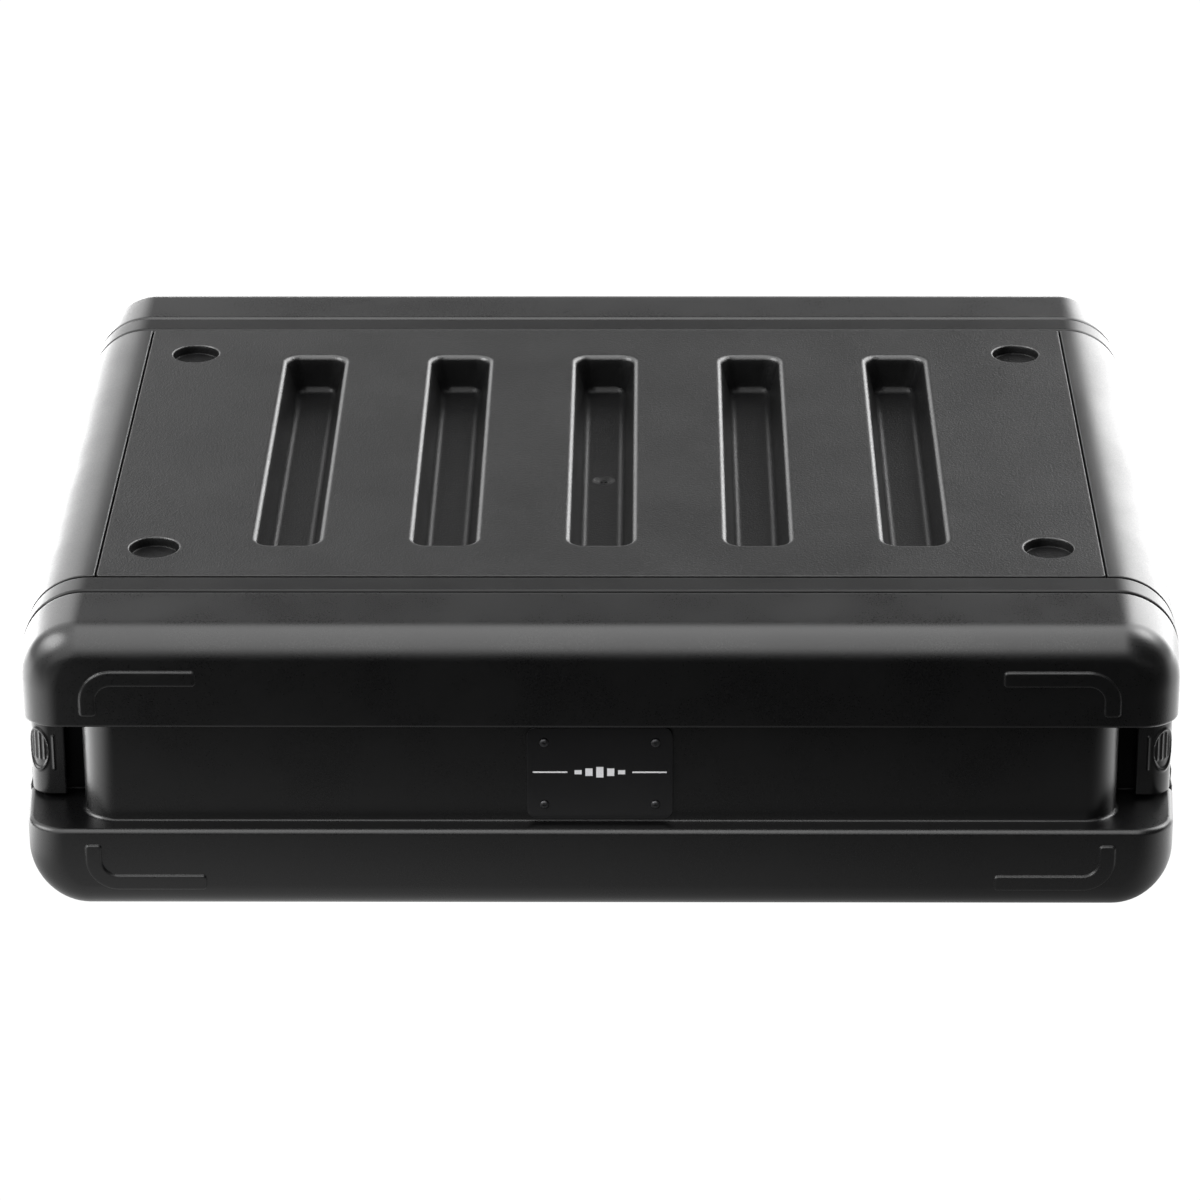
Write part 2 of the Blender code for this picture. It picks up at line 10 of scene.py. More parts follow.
import bmesh
import bpy
from mathutils import Matrix, Vector
from mathutils.geometry import delaunay_2d_cdt


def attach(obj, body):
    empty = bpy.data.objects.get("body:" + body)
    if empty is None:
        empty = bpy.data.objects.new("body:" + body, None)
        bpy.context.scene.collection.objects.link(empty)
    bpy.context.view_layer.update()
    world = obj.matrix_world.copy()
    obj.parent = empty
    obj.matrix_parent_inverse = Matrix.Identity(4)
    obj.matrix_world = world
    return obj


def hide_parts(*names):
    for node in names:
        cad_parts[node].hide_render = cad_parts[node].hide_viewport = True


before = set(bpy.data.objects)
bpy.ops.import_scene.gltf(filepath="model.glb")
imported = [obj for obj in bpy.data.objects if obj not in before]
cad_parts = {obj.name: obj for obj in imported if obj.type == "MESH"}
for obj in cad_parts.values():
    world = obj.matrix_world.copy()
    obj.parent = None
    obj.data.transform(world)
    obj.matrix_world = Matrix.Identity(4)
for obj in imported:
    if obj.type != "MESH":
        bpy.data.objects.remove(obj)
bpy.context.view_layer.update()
scene = bpy.context.scene

MM = 0.001
MID_Z = 79.0                        # mid height of the shell
HALF_X, HALF_Z = 278.0, 75.0        # half width and half height of the case
TOP = MID_Z + HALF_Z
SHELL_Y = 159.7                     # half length of the panels between the end frames
FRONT_Y = -225.0                    # face of the front cover, where depth is 0
CORNER_R = 31.5                     # long corners
CORNER_X = HALF_X - CORNER_R
CORNER_STEPS = 16
CHANNEL_LOW, CHANNEL_TOP = 49.7, 103.9      # channel round the covers
PIN_X, PIN_Y = 269.1, 44.6 + FRONT_Y        # latch pin
PIN_HOLE_R = 1.85
RAIL_SCREWS = [(side * 249.0, MID_Z + up * 36.0) for side in (-1, 1) for up in (-1, 1)]
ENDS = (("front", 1), ("rear", -1))
HANDS = (("left", -1), ("right", 1))


# ------------------------------------------------------------- plan geometry
def quarter(steps):
    """Angles from 0 to 90 degrees."""
    return [math.radians(90 * i / steps) for i in range(steps + 1)]


def outline(half_x, half_y, radius, radius_y=None, steps=12, mid_x=0.0, mid_y=0.0):
    """A rectangle with rounded corners."""
    radius_y = radius if radius_y is None else radius_y
    pts = []
    for turn, (side_x, side_y) in enumerate(((1, 1), (-1, 1), (-1, -1), (1, -1))):
        for i in range(steps + 1):
            angle = math.radians(90 * turn + 90 * i / steps)
            pts.append((mid_x + side_x * (half_x - radius) + radius * math.cos(angle),
                        mid_y + side_y * (half_y - radius_y) + radius_y * math.sin(angle)))
    return pts


def circle(mid_x, mid_y, radius, steps):
    angles = [2 * math.pi * i / steps for i in range(steps)]
    return [(mid_x + radius * math.cos(a), mid_y + radius * math.sin(a)) for a in angles]


def arc(mid_x, mid_y, radius, first, last, steps):
    """Points from one angle to another, in degrees."""
    angles = [math.radians(first + (last - first) * i / steps) for i in range(steps + 1)]
    return [(mid_x + radius * math.cos(a), mid_y + radius * math.sin(a)) for a in angles]


def unit(begin, end):
    dx, dy = end[0] - begin[0], end[1] - begin[1]
    length = math.hypot(dx, dy)
    return dx / length, dy / length


def round_path(corners, closed, side=1):
    """Corners (x, y, radius, steps) joined by straight lines and arcs.

    Gives (x, y, out_x, out_y) rows; the normal is on the right of the travel for side 1.
    """
    count = len(corners)
    path = []

    def put(x, y, out_x, out_y):
        if path and math.hypot(path[-1][0] - x, path[-1][1] - y) < 1e-4:
            return
        path.append((x, y, out_x, out_y))

    for i, (x, y, radius, steps) in enumerate(corners):
        if not closed and i in (0, count - 1):
            along = unit(*corners[:2]) if i == 0 else unit(*corners[-2:])
            put(x, y, side * along[1], -side * along[0])
            continue
        into = unit(corners[i - 1], corners[i])
        away = unit(corners[i], corners[(i + 1) % count])
        cross = into[0] * away[1] - into[1] * away[0]
        turn = math.atan2(cross, into[0] * away[0] + into[1] * away[1])
        setback = radius * math.tan(abs(turn) / 2)
        from_x, from_y = x - into[0] * setback, y - into[1] * setback
        sign = 1 if turn > 0 else -1
        mid_x, mid_y = from_x - sign * into[1] * radius, from_y + sign * into[0] * radius
        first = math.atan2(from_y - mid_y, from_x - mid_x)
        for j in range(steps + 1):
            angle = first + turn * j / steps
            put(mid_x + radius * math.cos(angle), mid_y + radius * math.sin(angle),
                side * sign * math.cos(angle), side * sign * math.sin(angle))
    return path


def inset(path, amount):
    """A path moved against its normals."""
    return [(x - out_x * amount, y - out_y * amount) for x, y, out_x, out_y in path]


def band(line, half, margin, corner):
    """Outline round an open line, with squared ends of rounded corners, moved in by margin."""
    width, radius = half - margin, max(corner - margin, 0.15)
    reach = width - radius

    def end(x, y, out_x, out_y, along):
        pts = []
        for side, first in ((1, 0), (-1, 90)):
            mid_x = x + along[0] * reach + side * out_x * reach
            mid_y = y + along[1] * reach + side * out_y * reach
            for i in range(6):
                angle = math.radians(first + 90 * i / 5)
                cos, sin = math.cos(angle), math.sin(angle)
                pts.append((mid_x + radius * (cos * out_x + sin * along[0]),
                            mid_y + radius * (cos * out_y + sin * along[1])))
        return pts

    pts = [(x + out_x * width, y + out_y * width) for x, y, out_x, out_y in line]
    pts += end(*line[-1], unit(line[-2], line[-1]))
    pts += [(x - out_x * width, y - out_y * width) for x, y, out_x, out_y in reversed(line)]
    x, y, out_x, out_y = line[0]
    return pts + end(x, y, -out_x, -out_y, unit(line[1], line[0]))


# ------------------------------------------------------------- mesh building
def bridge(mesh, rings, closed=True):
    """Faces between rings of equal length."""
    grid = [[mesh.verts.new(p) for p in ring] for ring in rings]
    count = len(grid[0])
    for a, b in zip(grid, grid[1:]):
        for i in range(count if closed else count - 1):
            j = (i + 1) % count
            mesh.faces.new((a[i], a[j], b[j], b[i]))


def cap(mesh, pts):
    clean = []
    for p in pts:
        if not clean or (Vector(p) - Vector(clean[-1])).length > 2e-3:
            clean.append(p)
    while len(clean) > 2 and (Vector(clean[0]) - Vector(clean[-1])).length < 2e-3:
        clean.pop()
    mesh.faces.new([mesh.verts.new(p) for p in clean])


def inside(x, y, loop):
    hit = False
    for i in range(len(loop)):
        (x0, y0), (x1, y1) = loop[i - 1], loop[i]
        if (y0 > y) != (y1 > y) and x < x0 + (y - y0) / (y1 - y0) * (x1 - x0):
            hit = not hit
    return hit


def fill(mesh, outer, holes, z):
    """Triangles over a level region with holes."""
    pts, edges = [], []
    for loop in [outer] + holes:
        base = len(pts)
        pts += [Vector(p) for p in loop]
        edges += [(base + i, base + (i + 1) % len(loop)) for i in range(len(loop))]
    flat, _, faces = delaunay_2d_cdt(pts, edges, [], 1, 1e-5)[:3]
    verts = [mesh.verts.new((p[0], p[1], z)) for p in flat]
    for face in faces:
        x = sum(flat[i][0] for i in face) / len(face)
        y = sum(flat[i][1] for i in face) / len(face)
        if inside(x, y, outer) and not any(inside(x, y, hole) for hole in holes):
            mesh.faces.new([verts[i] for i in face])
    for vert in verts:
        if not vert.link_faces:
            mesh.verts.remove(vert)


def loft(mesh, rings):
    bridge(mesh, rings)
    cap(mesh, rings[0])
    cap(mesh, list(reversed(rings[-1])))


def xy(pts, z):
    return [(x, y, z) for x, y in pts]


def xz(pts, y, mid_z=0.0):
    return [(x, y, mid_z + z) for x, z in pts]


def yz(pts, x):
    return [(x, y, z) for y, z in pts]


def link_new(name, data):
    new = bpy.data.objects.new(name, data)
    scene.collection.objects.link(new)
    return new


def to_object(mesh, name):
    """Weld a mesh in millimetres and put it in the scene in metres."""
    bmesh.ops.remove_doubles(mesh, verts=mesh.verts, dist=0.003)
    bmesh.ops.dissolve_degenerate(mesh, edges=mesh.edges, dist=1e-4)
    bmesh.ops.recalc_face_normals(mesh, faces=mesh.faces)
    bmesh.ops.scale(mesh, vec=(MM, MM, MM), verts=mesh.verts)
    data = bpy.data.meshes.new(name)
    mesh.to_mesh(data)
    mesh.free()
    return link_new(name, data)


def solid(name, stacks):
    """One object from several lofted stacks of rings."""
    mesh = bmesh.new()
    for stack in stacks:
        loft(mesh, stack)
    return to_object(mesh, name)


def prism_z(pts, z0, z1):
    return [xy(pts, z0), xy(pts, z1)]


def prism_y(pts, y0, y1, mid_z=0.0):
    return [xz(pts, y0, mid_z), xz(pts, y1, mid_z)]


def block(x0, x1, y0, y1, z0, z1):
    return prism_z([(x0, y0), (x1, y0), (x1, y1), (x0, y1)], z0, z1)


def slab(half_x, half_z, radius, y0, y1, steps=8):
    """A rounded prism along Y, centred on the shell."""
    return prism_y(outline(half_x, half_z, radius, steps=steps), y0, y1, MID_Z)


def settle(piece):
    """Write the modifiers into the mesh."""
    graph = bpy.context.evaluated_depsgraph_get()
    graph.update()
    data = bpy.data.meshes.new_from_object(piece.evaluated_get(graph), depsgraph=graph)
    piece.modifiers.clear()
    old, piece.data = piece.data, data
    if old.users == 0:
        bpy.data.meshes.remove(old)


def remove(*pieces):
    for piece in pieces:
        bpy.data.objects.remove(piece, do_unlink=True)


def boolean(piece, tool, operation="DIFFERENCE"):
    mod = piece.modifiers.new("b", "BOOLEAN")
    mod.operation, mod.solver, mod.object = operation, "EXACT", tool
    settle(piece)
    mesh = bmesh.new()
    mesh.from_mesh(piece.data)
    bmesh.ops.remove_doubles(mesh, verts=mesh.verts, dist=1.5e-6)
    bmesh.ops.dissolve_degenerate(mesh, edges=mesh.edges, dist=1e-7)
    mesh.to_mesh(piece.data)
    mesh.free()
    remove(tool)


def cut(piece, stacks):
    boolean(piece, solid("tool", stacks))


def add(piece, stacks):
    boolean(piece, solid("tool", stacks), "UNION")


def bevel(piece, width, segments=3, angle=38):
    mod = piece.modifiers.new("edge", "BEVEL")
    mod.width, mod.segments = width * MM, segments
    mod.limit_method, mod.angle_limit = "ANGLE", math.radians(angle)
    mod.use_clamp_overlap = True
    mod.miter_outer = "MITER_ARC"
    settle(piece)


# Turns two coordinates across an axis and a height along it into a point.
ALONG = {
    "Z": lambda a, b, height: (a, b, height),
    "-Z": lambda a, b, height: (a, b, -height),
    "Y": lambda a, b, height: (a, height, b),
    "-Y": lambda a, b, height: (a, -height, b),
}


def turned(name, profile, steps, axis="Z"):
    """A lathe piece from (radius, height) rows, closed at both ends."""
    rings = [[ALONG[axis](a, b, height) for a, b in circle(0.0, 0.0, radius, steps)]
             for radius, height in profile]
    return solid(name, [rings])


def mirror(piece, name, side_x=1, side_y=1, side_z=1):
    """A copy mirrored in X and Y about the centre, and in Z about the shell's mid height."""
    data = piece.data.copy()
    data.name = name
    move = Matrix.Diagonal((side_x, side_y, side_z, 1))
    if side_z < 0:
        move = Matrix.Translation((0, 0, 2 * MID_Z * MM)) @ move
    data.transform(move)
    if side_x * side_y * side_z < 0:
        data.flip_normals()
    return link_new(name, data)


def dress(piece, material, body, node, angle=34, weighted=True):
    """Material, shading, and the place of a piece in the frame."""
    if not piece.data.materials:
        piece.data.materials.append(material)
    else:
        piece.data.materials[0] = material
    piece.data.shade_smooth()
    piece.data.set_sharp_from_angle(angle=math.radians(angle))
    if weighted:
        mod = piece.modifiers.new("weighted", "WEIGHTED_NORMAL")
        mod.mode, mod.weight, mod.keep_sharp = "FACE_AREA", 60, True
    piece.name = "vis_" + node
    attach(piece, body)
    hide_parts(node)


# ------------------------------------------------------------------ materials
class Nodes:
    """A short way to write a node tree: a shader joined to an output, and its inputs."""

    def __init__(self, tree, output, shader):
        self.tree = tree
        tree.nodes.clear()
        end = self.new(output)
        self.shader = self.new(shader)
        tree.links.new(self.shader.outputs[0], end.inputs[0])

    def new(self, kind, inputs=None, **settings):
        node = self.tree.nodes.new(kind)
        for name, value in settings.items():
            setattr(node, name, value)
        self.put(node, inputs or {})
        return node

    def put(self, node, inputs):
        for key, value in inputs.items():
            if isinstance(value, (int, float, tuple)):
                node.inputs[key].default_value = value
            else:
                self.tree.links.new(value, node.inputs[key])

    def shade(self, **inputs):
        """Inputs of the shader, with _ for a space."""
        self.put(self.shader, {key.replace("_", " "): value for key, value in inputs.items()})

    def math(self, operation, first, second=0.0):
        node = self.new("ShaderNodeMath", {0: first, 1: second}, operation=operation)
        return node.outputs[0]

    def add(self, *terms):
        return reduce(lambda a, b: self.math("ADD", a, b), terms)

    def mul(self, *terms):
        return reduce(lambda a, b: self.math("MULTIPLY", a, b), terms)

    def minus(self, first, second):
        return self.math("SUBTRACT", first, second)

    def noise(self, vector, scale, detail=3.0, rough=0.6):
        return self.new("ShaderNodeTexNoise", {
            "Vector": vector, "Scale": scale, "Detail": detail, "Roughness": rough,
            "Lacunarity": 2.0}).outputs[0]

    def cells(self, vector, scale):
        return self.new("ShaderNodeTexVoronoi", {
            "Vector": vector, "Scale": scale, "Randomness": 1.0},
            feature="F1").outputs["Distance"]

    def span(self, value, over, to=(0.0, 1.0), kind="LINEAR"):
        """Carry a value from one range to another, clamped."""
        return self.new("ShaderNodeMapRange", {
            "Value": value, "From Min": over[0], "From Max": over[1],
            "To Min": to[0], "To Max": to[1]}, interpolation_type=kind, clamp=True).outputs[0]

    def ease(self, value, over, to=(0.0, 1.0)):
        return self.span(value, over, to, kind="SMOOTHSTEP")

    def sway(self, noise, to):
        """The usual reach of a noise carried to a range."""
        return self.span(noise, over=(0.3, 0.7), to=to)

    def mix(self, factor, first, second):
        return self.new("ShaderNodeMix", {0: factor, 6: first, 7: second},
                        data_type="RGBA").outputs[2]

    def stretch(self, vector, scale):
        return self.new("ShaderNodeMapping", {"Vector": vector, "Scale": scale}).outputs[0]

    def tint(self, rgb, scale):
        return self.new("ShaderNodeVectorMath", {0: rgb, "Scale": scale},
                        operation="SCALE").outputs[0]

    def dot(self, first, second):
        return self.new("ShaderNodeVectorMath", {0: first, 1: second},
                        operation="DOT_PRODUCT").outputs["Value"]

    def bump(self, height, strength, distance):
        return self.new("ShaderNodeBump", {
            "Strength": strength, "Distance": distance, "Height": height})

    def axes(self, vector):
        return self.new("ShaderNodeSeparateXYZ", {0: vector}).outputs


def new_material(name):
    """A material, its nodes and its object coordinates."""
    material = bpy.data.materials.new(name)
    material.use_nodes = True
    net = Nodes(material.node_tree, "ShaderNodeOutputMaterial", "ShaderNodeBsdfPrincipled")
    return material, net, net.new("ShaderNodeTexCoord").outputs["Object"]


def painted_pocket_shade_and_rim_highlight(net, coords, spec, hollow):
    """Painted shade: gloss that falls off inside the panel pockets, with a painted highlight as
    a brighter line at the rim.
    """
    z = net.axes(coords)[2]
    offset = net.math("ABSOLUTE", net.minus(z, MID_Z / 1000))
    below = net.minus(HALF_Z / 1000, offset)
    # Painted highlight: a brighter gloss line just under the pocket rims.
    rim = net.mul(net.span(below, over=(0.00003, 0.0002)),
                  net.ease(below, over=(0.0010, 0.0022), to=(1.0, 0.0)))
    # Painted shade: the gloss falls to the share set by hollow deeper in the pockets, plus the
    # painted rim highlight.
    return net.add(net.ease(below, over=(0.0010, 0.0050), to=(spec, spec * hollow)),
                   net.mul(rim, 0.30))


def painted_nook_shade_spec(net, coords, spec):
    """Painted shade: gloss that falls off in the ends of the channel at the sides of the covers.
    """
    x, y, z = net.axes(coords)
    x, y = net.math("ABSOLUTE", x), net.math("ABSOLUTE", y)
    # Painted shade: a mask over the channel ends near the covers' backs, where the gloss is cut
    # by up to 88 percent.
    nook_shade_mask = net.mul(net.span(x, over=(0.2486, 0.2496)),
                   net.span(x, over=(0.2650, 0.2665), to=(1.0, 0.0)),
                   net.ease(y, over=(0.1825, 0.1915), to=(1.0, 0.0)),
                   net.mul(net.span(z, over=(0.0488, 0.0494)),
                           net.span(z, over=(0.1045, 0.1055), to=(1.0, 0.0))))
    return net.mul(spec, net.minus(1.0, net.mul(nook_shade_mask, 0.88)))


def plastic(name, rgb, rough, grain_mm=0.8, grain=0.35, depth=0.06, mottle=0.10, spec=0.5,
            wear_radius=0.0008, scratch=0.0, hollow=0.0, nook_shade=False):
    """Moulded plastic: fine grain, slow mottling, uneven gloss, paler worn edges."""
    material, net, coords = new_material(name)
    fine = net.noise(coords, scale=1000 / grain_mm, rough=0.62)
    cells = net.cells(coords, scale=1150 / grain_mm)
    grit = net.noise(coords, scale=2600 / grain_mm, detail=2.0)
    slow = net.noise(coords, scale=22.0, rough=0.55)
    mid = net.noise(coords, scale=120.0, detail=4.0)
    # Shares of the three grains in the relief.
    height = net.add(net.mul(fine, 0.6), net.add(net.mul(cells, 0.45), net.mul(grit, 0.25)))
    bump = net.bump(height, strength=grain, distance=depth * MM)
    color = net.tint(rgb, net.add(net.sway(mid, to=(1 - mottle, 1 + mottle)),
                                  net.sway(fine, to=(-mottle * 0.8, mottle * 0.8))))
    gloss = net.add(net.sway(slow, to=(rough - 0.03, rough + 0.03)),
                    net.sway(fine, to=(-0.05, 0.05)))
    if scratch:
        lines = net.noise(net.stretch(coords, scale=(14.0, 900.0, 60.0)), scale=1.0, rough=0.7)
        patch = net.noise(coords, scale=9.0, detail=2.0, rough=0.5)
        marks = net.mul(net.span(lines, over=(0.70, 0.76)),
                        net.span(patch, over=(0.52, 0.68)), scratch)
        color = net.mix(marks, color, (0.09, 0.09, 0.09, 1))
        gloss = net.add(gloss, net.mul(marks, -0.08))
    # Wear shows where the rounded normal leaves the true one.
    normal = net.new("ShaderNodeNewGeometry").outputs["Normal"]
    soft = net.new("ShaderNodeBevel", {"Radius": wear_radius}, samples=3).outputs[0]
    edge = net.span(net.dot(normal, soft), over=(0.995, 0.90))
    rub = net.mul(edge, net.span(mid, over=(0.38, 0.62), to=(0.15, 1.0)))
    color = net.mix(net.mul(rub, 0.15), color, (0.05, 0.05, 0.05, 1))
    gloss = net.add(gloss, net.mul(rub, -0.06))
    net.put(bump, {"Normal": soft})
    # Painted shade in the panel pockets, with a painted highlight at their rims.
    if hollow:
        spec = painted_pocket_shade_and_rim_highlight(net, coords, spec, hollow)
    # Painted shade in the channel ends beside the covers.
    if nook_shade:
        spec = painted_nook_shade_spec(net, coords, spec)
    net.shade(Base_Color=color, Roughness=gloss, Normal=bump.outputs[0], IOR=1.5,
              Specular_IOR_Level=spec)
    return material


def metal(name, rgb, rough):
    """Brushed metal with fine lines and slow stains."""
    material, net, coords = new_material(name)
    line = net.noise(net.stretch(coords, scale=(40.0, 1200.0, 40.0)), scale=1.0, rough=0.7)
    slow = net.noise(coords, scale=90.0)
    spots = net.noise(coords, scale=900.0, detail=2.0)
    tone = net.add(net.sway(slow, to=(0.82, 1.08)), net.sway(spots, to=(-0.06, 0.06)))
    gloss = net.add(net.sway(line, to=(rough - 0.08, rough + 0.08)),
                    net.sway(slow, to=(-0.05, 0.05)))
    bump = net.bump(line, strength=0.25, distance=0.00003)
    net.shade(Metallic=1.0, Base_Color=net.tint(rgb, tone), Roughness=gloss,
              Normal=bump.outputs[0])
    return material


def rubber(name, rgb):
    material, net, coords = new_material(name)
    fine = net.noise(coords, scale=1500.0, rough=0.65)
    slow = net.noise(coords, scale=60.0)
    tone = net.add(net.sway(slow, to=(0.8, 1.5)), net.sway(fine, to=(-0.15, 0.15)))
    gloss = net.add(net.sway(slow, to=(0.68, 0.82)), net.sway(fine, to=(-0.06, 0.06)))
    bump = net.bump(fine, strength=0.4, distance=0.00008)
    net.shade(Base_Color=net.tint(rgb, tone), Roughness=gloss, Normal=bump.outputs[0])
    return material


# Print on the badge, in metres.
PRINT_Z = 0.0766
BAR_X, BAR_PITCH, BAR_WIDTH = -0.0121, 0.0052, 0.0034
BAR_HEIGHTS = (0.0022, 0.0040, 0.0056, 0.0040, 0.0022)
LINE_Z = (0.07620, 0.07700)
LINES_X = ((-0.0320, -0.0155), (0.0155, 0.0320))
PRINT_SOFT = 0.00012                # half width of a printed edge


def badge_material(name):
    """Gloss black plate; five upright bars between two thin lines, printed in pale grey."""
    material, net, coords = new_material(name)
    x, y, z = net.axes(coords)

    def strip(value, ends):
        low, high = ((end - PRINT_SOFT, end + PRINT_SOFT) for end in ends)
        return net.mul(net.ease(value, over=low), net.ease(value, over=high, to=(1.0, 0.0)))

    areas = []
    for i, height in enumerate(BAR_HEIGHTS):
        left = BAR_X + i * BAR_PITCH
        areas.append(((left, left + BAR_WIDTH), (PRINT_Z - height / 2, PRINT_Z + height / 2)))
    areas += [(line_x, LINE_Z) for line_x in LINES_X]
    marks = reduce(lambda a, b: net.math("MAXIMUM", a, b),
                   [net.mul(strip(x, wide), strip(z, high)) for wide, high in areas])
    face = net.span(y, over=(-0.2164, -0.2163), to=(1.0, 0.0))
    worn = net.span(net.noise(coords, scale=1800.0), over=(0.25, 0.45), to=(0.8, 1.0))
    marks = net.mul(marks, face, worn)
    dust = net.noise(coords, scale=400.0, detail=4.0, rough=0.7)
    smear = net.noise(coords, scale=45.0)
    color = net.mix(net.span(dust, over=(0.62, 0.8), to=(0.0, 0.12)),
                    (0.0035, 0.0035, 0.0038, 1), (0.06, 0.06, 0.06, 1))
    bump = net.bump(net.add(smear, net.mul(dust, 0.2)), strength=0.06, distance=0.0001)
    net.shade(Base_Color=net.mix(marks, color, (0.55, 0.55, 0.56, 1)),
              Roughness=net.add(net.sway(smear, to=(0.14, 0.24)), net.mul(marks, 0.3)),
              Normal=bump.outputs[0])
    return material


# The panels carry painted shade in their pockets and a painted highlight at the pocket rims.
PANEL = plastic("shell_grain", rgb=(0.0030, 0.0030, 0.0031), rough=0.35, grain_mm=1.1,
                grain=1.0, depth=0.15, mottle=0.20, scratch=0.5, spec=0.30, hollow=0.50)
SIDE = plastic("shell_side", rgb=(0.0020, 0.0020, 0.0021), rough=0.36, grain=0.32, scratch=0.3)
FRAME = plastic("frame_grain", rgb=(0.0016, 0.0016, 0.0017), rough=0.34, spec=0.24)
# The covers carry painted shade in the channel ends.
COVER = plastic("cover_grain", rgb=(0.0010, 0.0010, 0.0011), rough=0.31, grain=0.30,
                depth=0.05, spec=0.46, nook_shade=True)
LATCH = plastic("latch_satin", rgb=(0.0012, 0.0012, 0.0013), rough=0.30, grain_mm=0.5,
                grain=0.2, depth=0.03, wear_radius=0.0004, spec=0.38)
RUBBER = rubber("rubber_black", rgb=(0.012, 0.012, 0.012))
BADGE = badge_material("badge_gloss")
STEEL = metal("zinc_steel", rgb=(0.50, 0.50, 0.51), rough=0.34)
ROD = metal("rod_steel", rgb=(0.16, 0.16, 0.165), rough=0.46)
BLACK = metal("black_oxide", rgb=(0.060, 0.060, 0.062), rough=0.38)
RAIL = plastic("rail_powder", rgb=(0.020, 0.020, 0.021), rough=0.52, grain_mm=0.35,
               grain=0.5, depth=0.04, mottle=0.08, wear_radius=0.0004)

# ---------------------------------------------------------------- top, bottom
PANEL_X = 242.9                     # half width of the panel
POCKET_PITCH, POCKETS = 76.7, 5
POCKET_DEPTH = 20.0
POCKET_TURN = math.radians(76)      # turn of the rim and floor roundings
RIM_R, FLOOR_R = 3.1, 4.2
SKIN = -3.5                         # underside of the panel, from its top
RECESS_FLOOR, RECESS_UNDER = -5.0, -8.0
FOOT_X, FOOT_Y = 218.0, 126.3
FEET = [(side_x * FOOT_X, side_y * FOOT_Y) for side_x in (-1, 1) for side_y in (-1, 1)]

# Underside of a pocket: half width, half length, corner radius, height from the top.
POCKET_UNDER = [
    (20.3, 127.7, 11.6, SKIN), (19.7, 127.1, 11.2, -3.6), (19.2, 126.7, 10.9, -4.2),
    (15.4, 125.2, 9.0, -18.5), (15.0, 124.9, 8.8, -20.5), (13.6, 123.6, 7.6, -22.4),
    (11.6, 121.8, 6.0, -23.0),
]
# Shallow cone with a small nub in the middle pocket: radius, height from the floor.
GATE = [(6.0, 0.0), (5.7, -0.06), (3.6, -0.55), (1.7, -1.0), (1.1, -0.1), (0.6, 0.0)]
# Underside of a corner recess, and its screw hole: radius, height from the top.
RECESS_CUP = [(15.6, SKIN), (15.0, -3.6), (14.9, -4.2), (14.6, -7.6), (14.2, -8.0),
              (13.6, RECESS_UNDER)]
RECESS_HOLE = [(2.6, RECESS_FLOOR), (2.1, -5.4), (2.1, RECESS_UNDER)]


def pocket_profile():
    """(half width, half length, corner radius, height) rows from the flat rim to the floor."""
    rows = [(18.6, 126.0, 10.6, 0.0)]
    for i in range(9):
        angle = POCKET_TURN * i / 8
        move = RIM_R * math.sin(angle)
        rows.append((18.0 - move, 125.4 - move, 10.0 - 2.75 * math.sin(angle),
                     -RIM_R * (1 - math.cos(angle))))
    x0, y0, r0, z0 = rows[-1]
    drop = POCKET_DEPTH - FLOOR_R * (1 - math.cos(POCKET_TURN))
    x1, y1, r1 = x0 - 3.83, y0 - 0.55, 6.6
    for i in range(1, 5):
        f = i / 5
        rows.append((x0 + (x1 - x0) * f, y0 + (y1 - y0) * f, r0 + (r1 - r0) * f,
                     z0 + (-drop - z0) * f))
    for i in range(9):
        angle = POCKET_TURN * (1 - i / 8)
        swing = math.sin(POCKET_TURN) - math.sin(angle)
        rows.append((x1 - FLOOR_R * swing, y1 - FLOOR_R * swing, r1 - 4.0 * swing,
                     -POCKET_DEPTH + FLOOR_R * (1 - math.cos(angle))))
    x, y, radius, _ = rows[-1]
    rows.append((x - 0.5, y - 0.5, max(radius - 0.5, 1.5), -POCKET_DEPTH))
    return rows


def panel_plan(margin):
    return outline(PANEL_X - margin, SHELL_Y - margin, 1.6 - margin * 0.9, steps=6)


def add_pocket(mesh, mid_x, gate):
    """One pocket; gives its openings in the top and the underside."""
    def plan(row):
        return outline(*row[:3], steps=8, mid_x=mid_x)

    profile = pocket_profile()
    bridge(mesh, [xy(plan(row), TOP + row[3]) for row in profile])
    floor_z = TOP - POCKET_DEPTH
    holes = []
    if gate:
        rings = [circle(mid_x + 0.2, 2.0, radius, 28) for radius, _ in GATE]
        bridge(mesh, [xy(ring, floor_z + z) for ring, (_, z) in zip(rings, GATE)])
        cap(mesh, xy(rings[-1], floor_z))
        holes = [rings[0]]
    fill(mesh, plan(profile[-1]), holes, floor_z)
    bridge(mesh, [xy(plan(row), TOP + row[3]) for row in POCKET_UNDER])
    cap(mesh, xy(plan(POCKET_UNDER[-1]), TOP + POCKET_UNDER[-1][3]))
    return plan(profile[0]), plan(POCKET_UNDER[0])


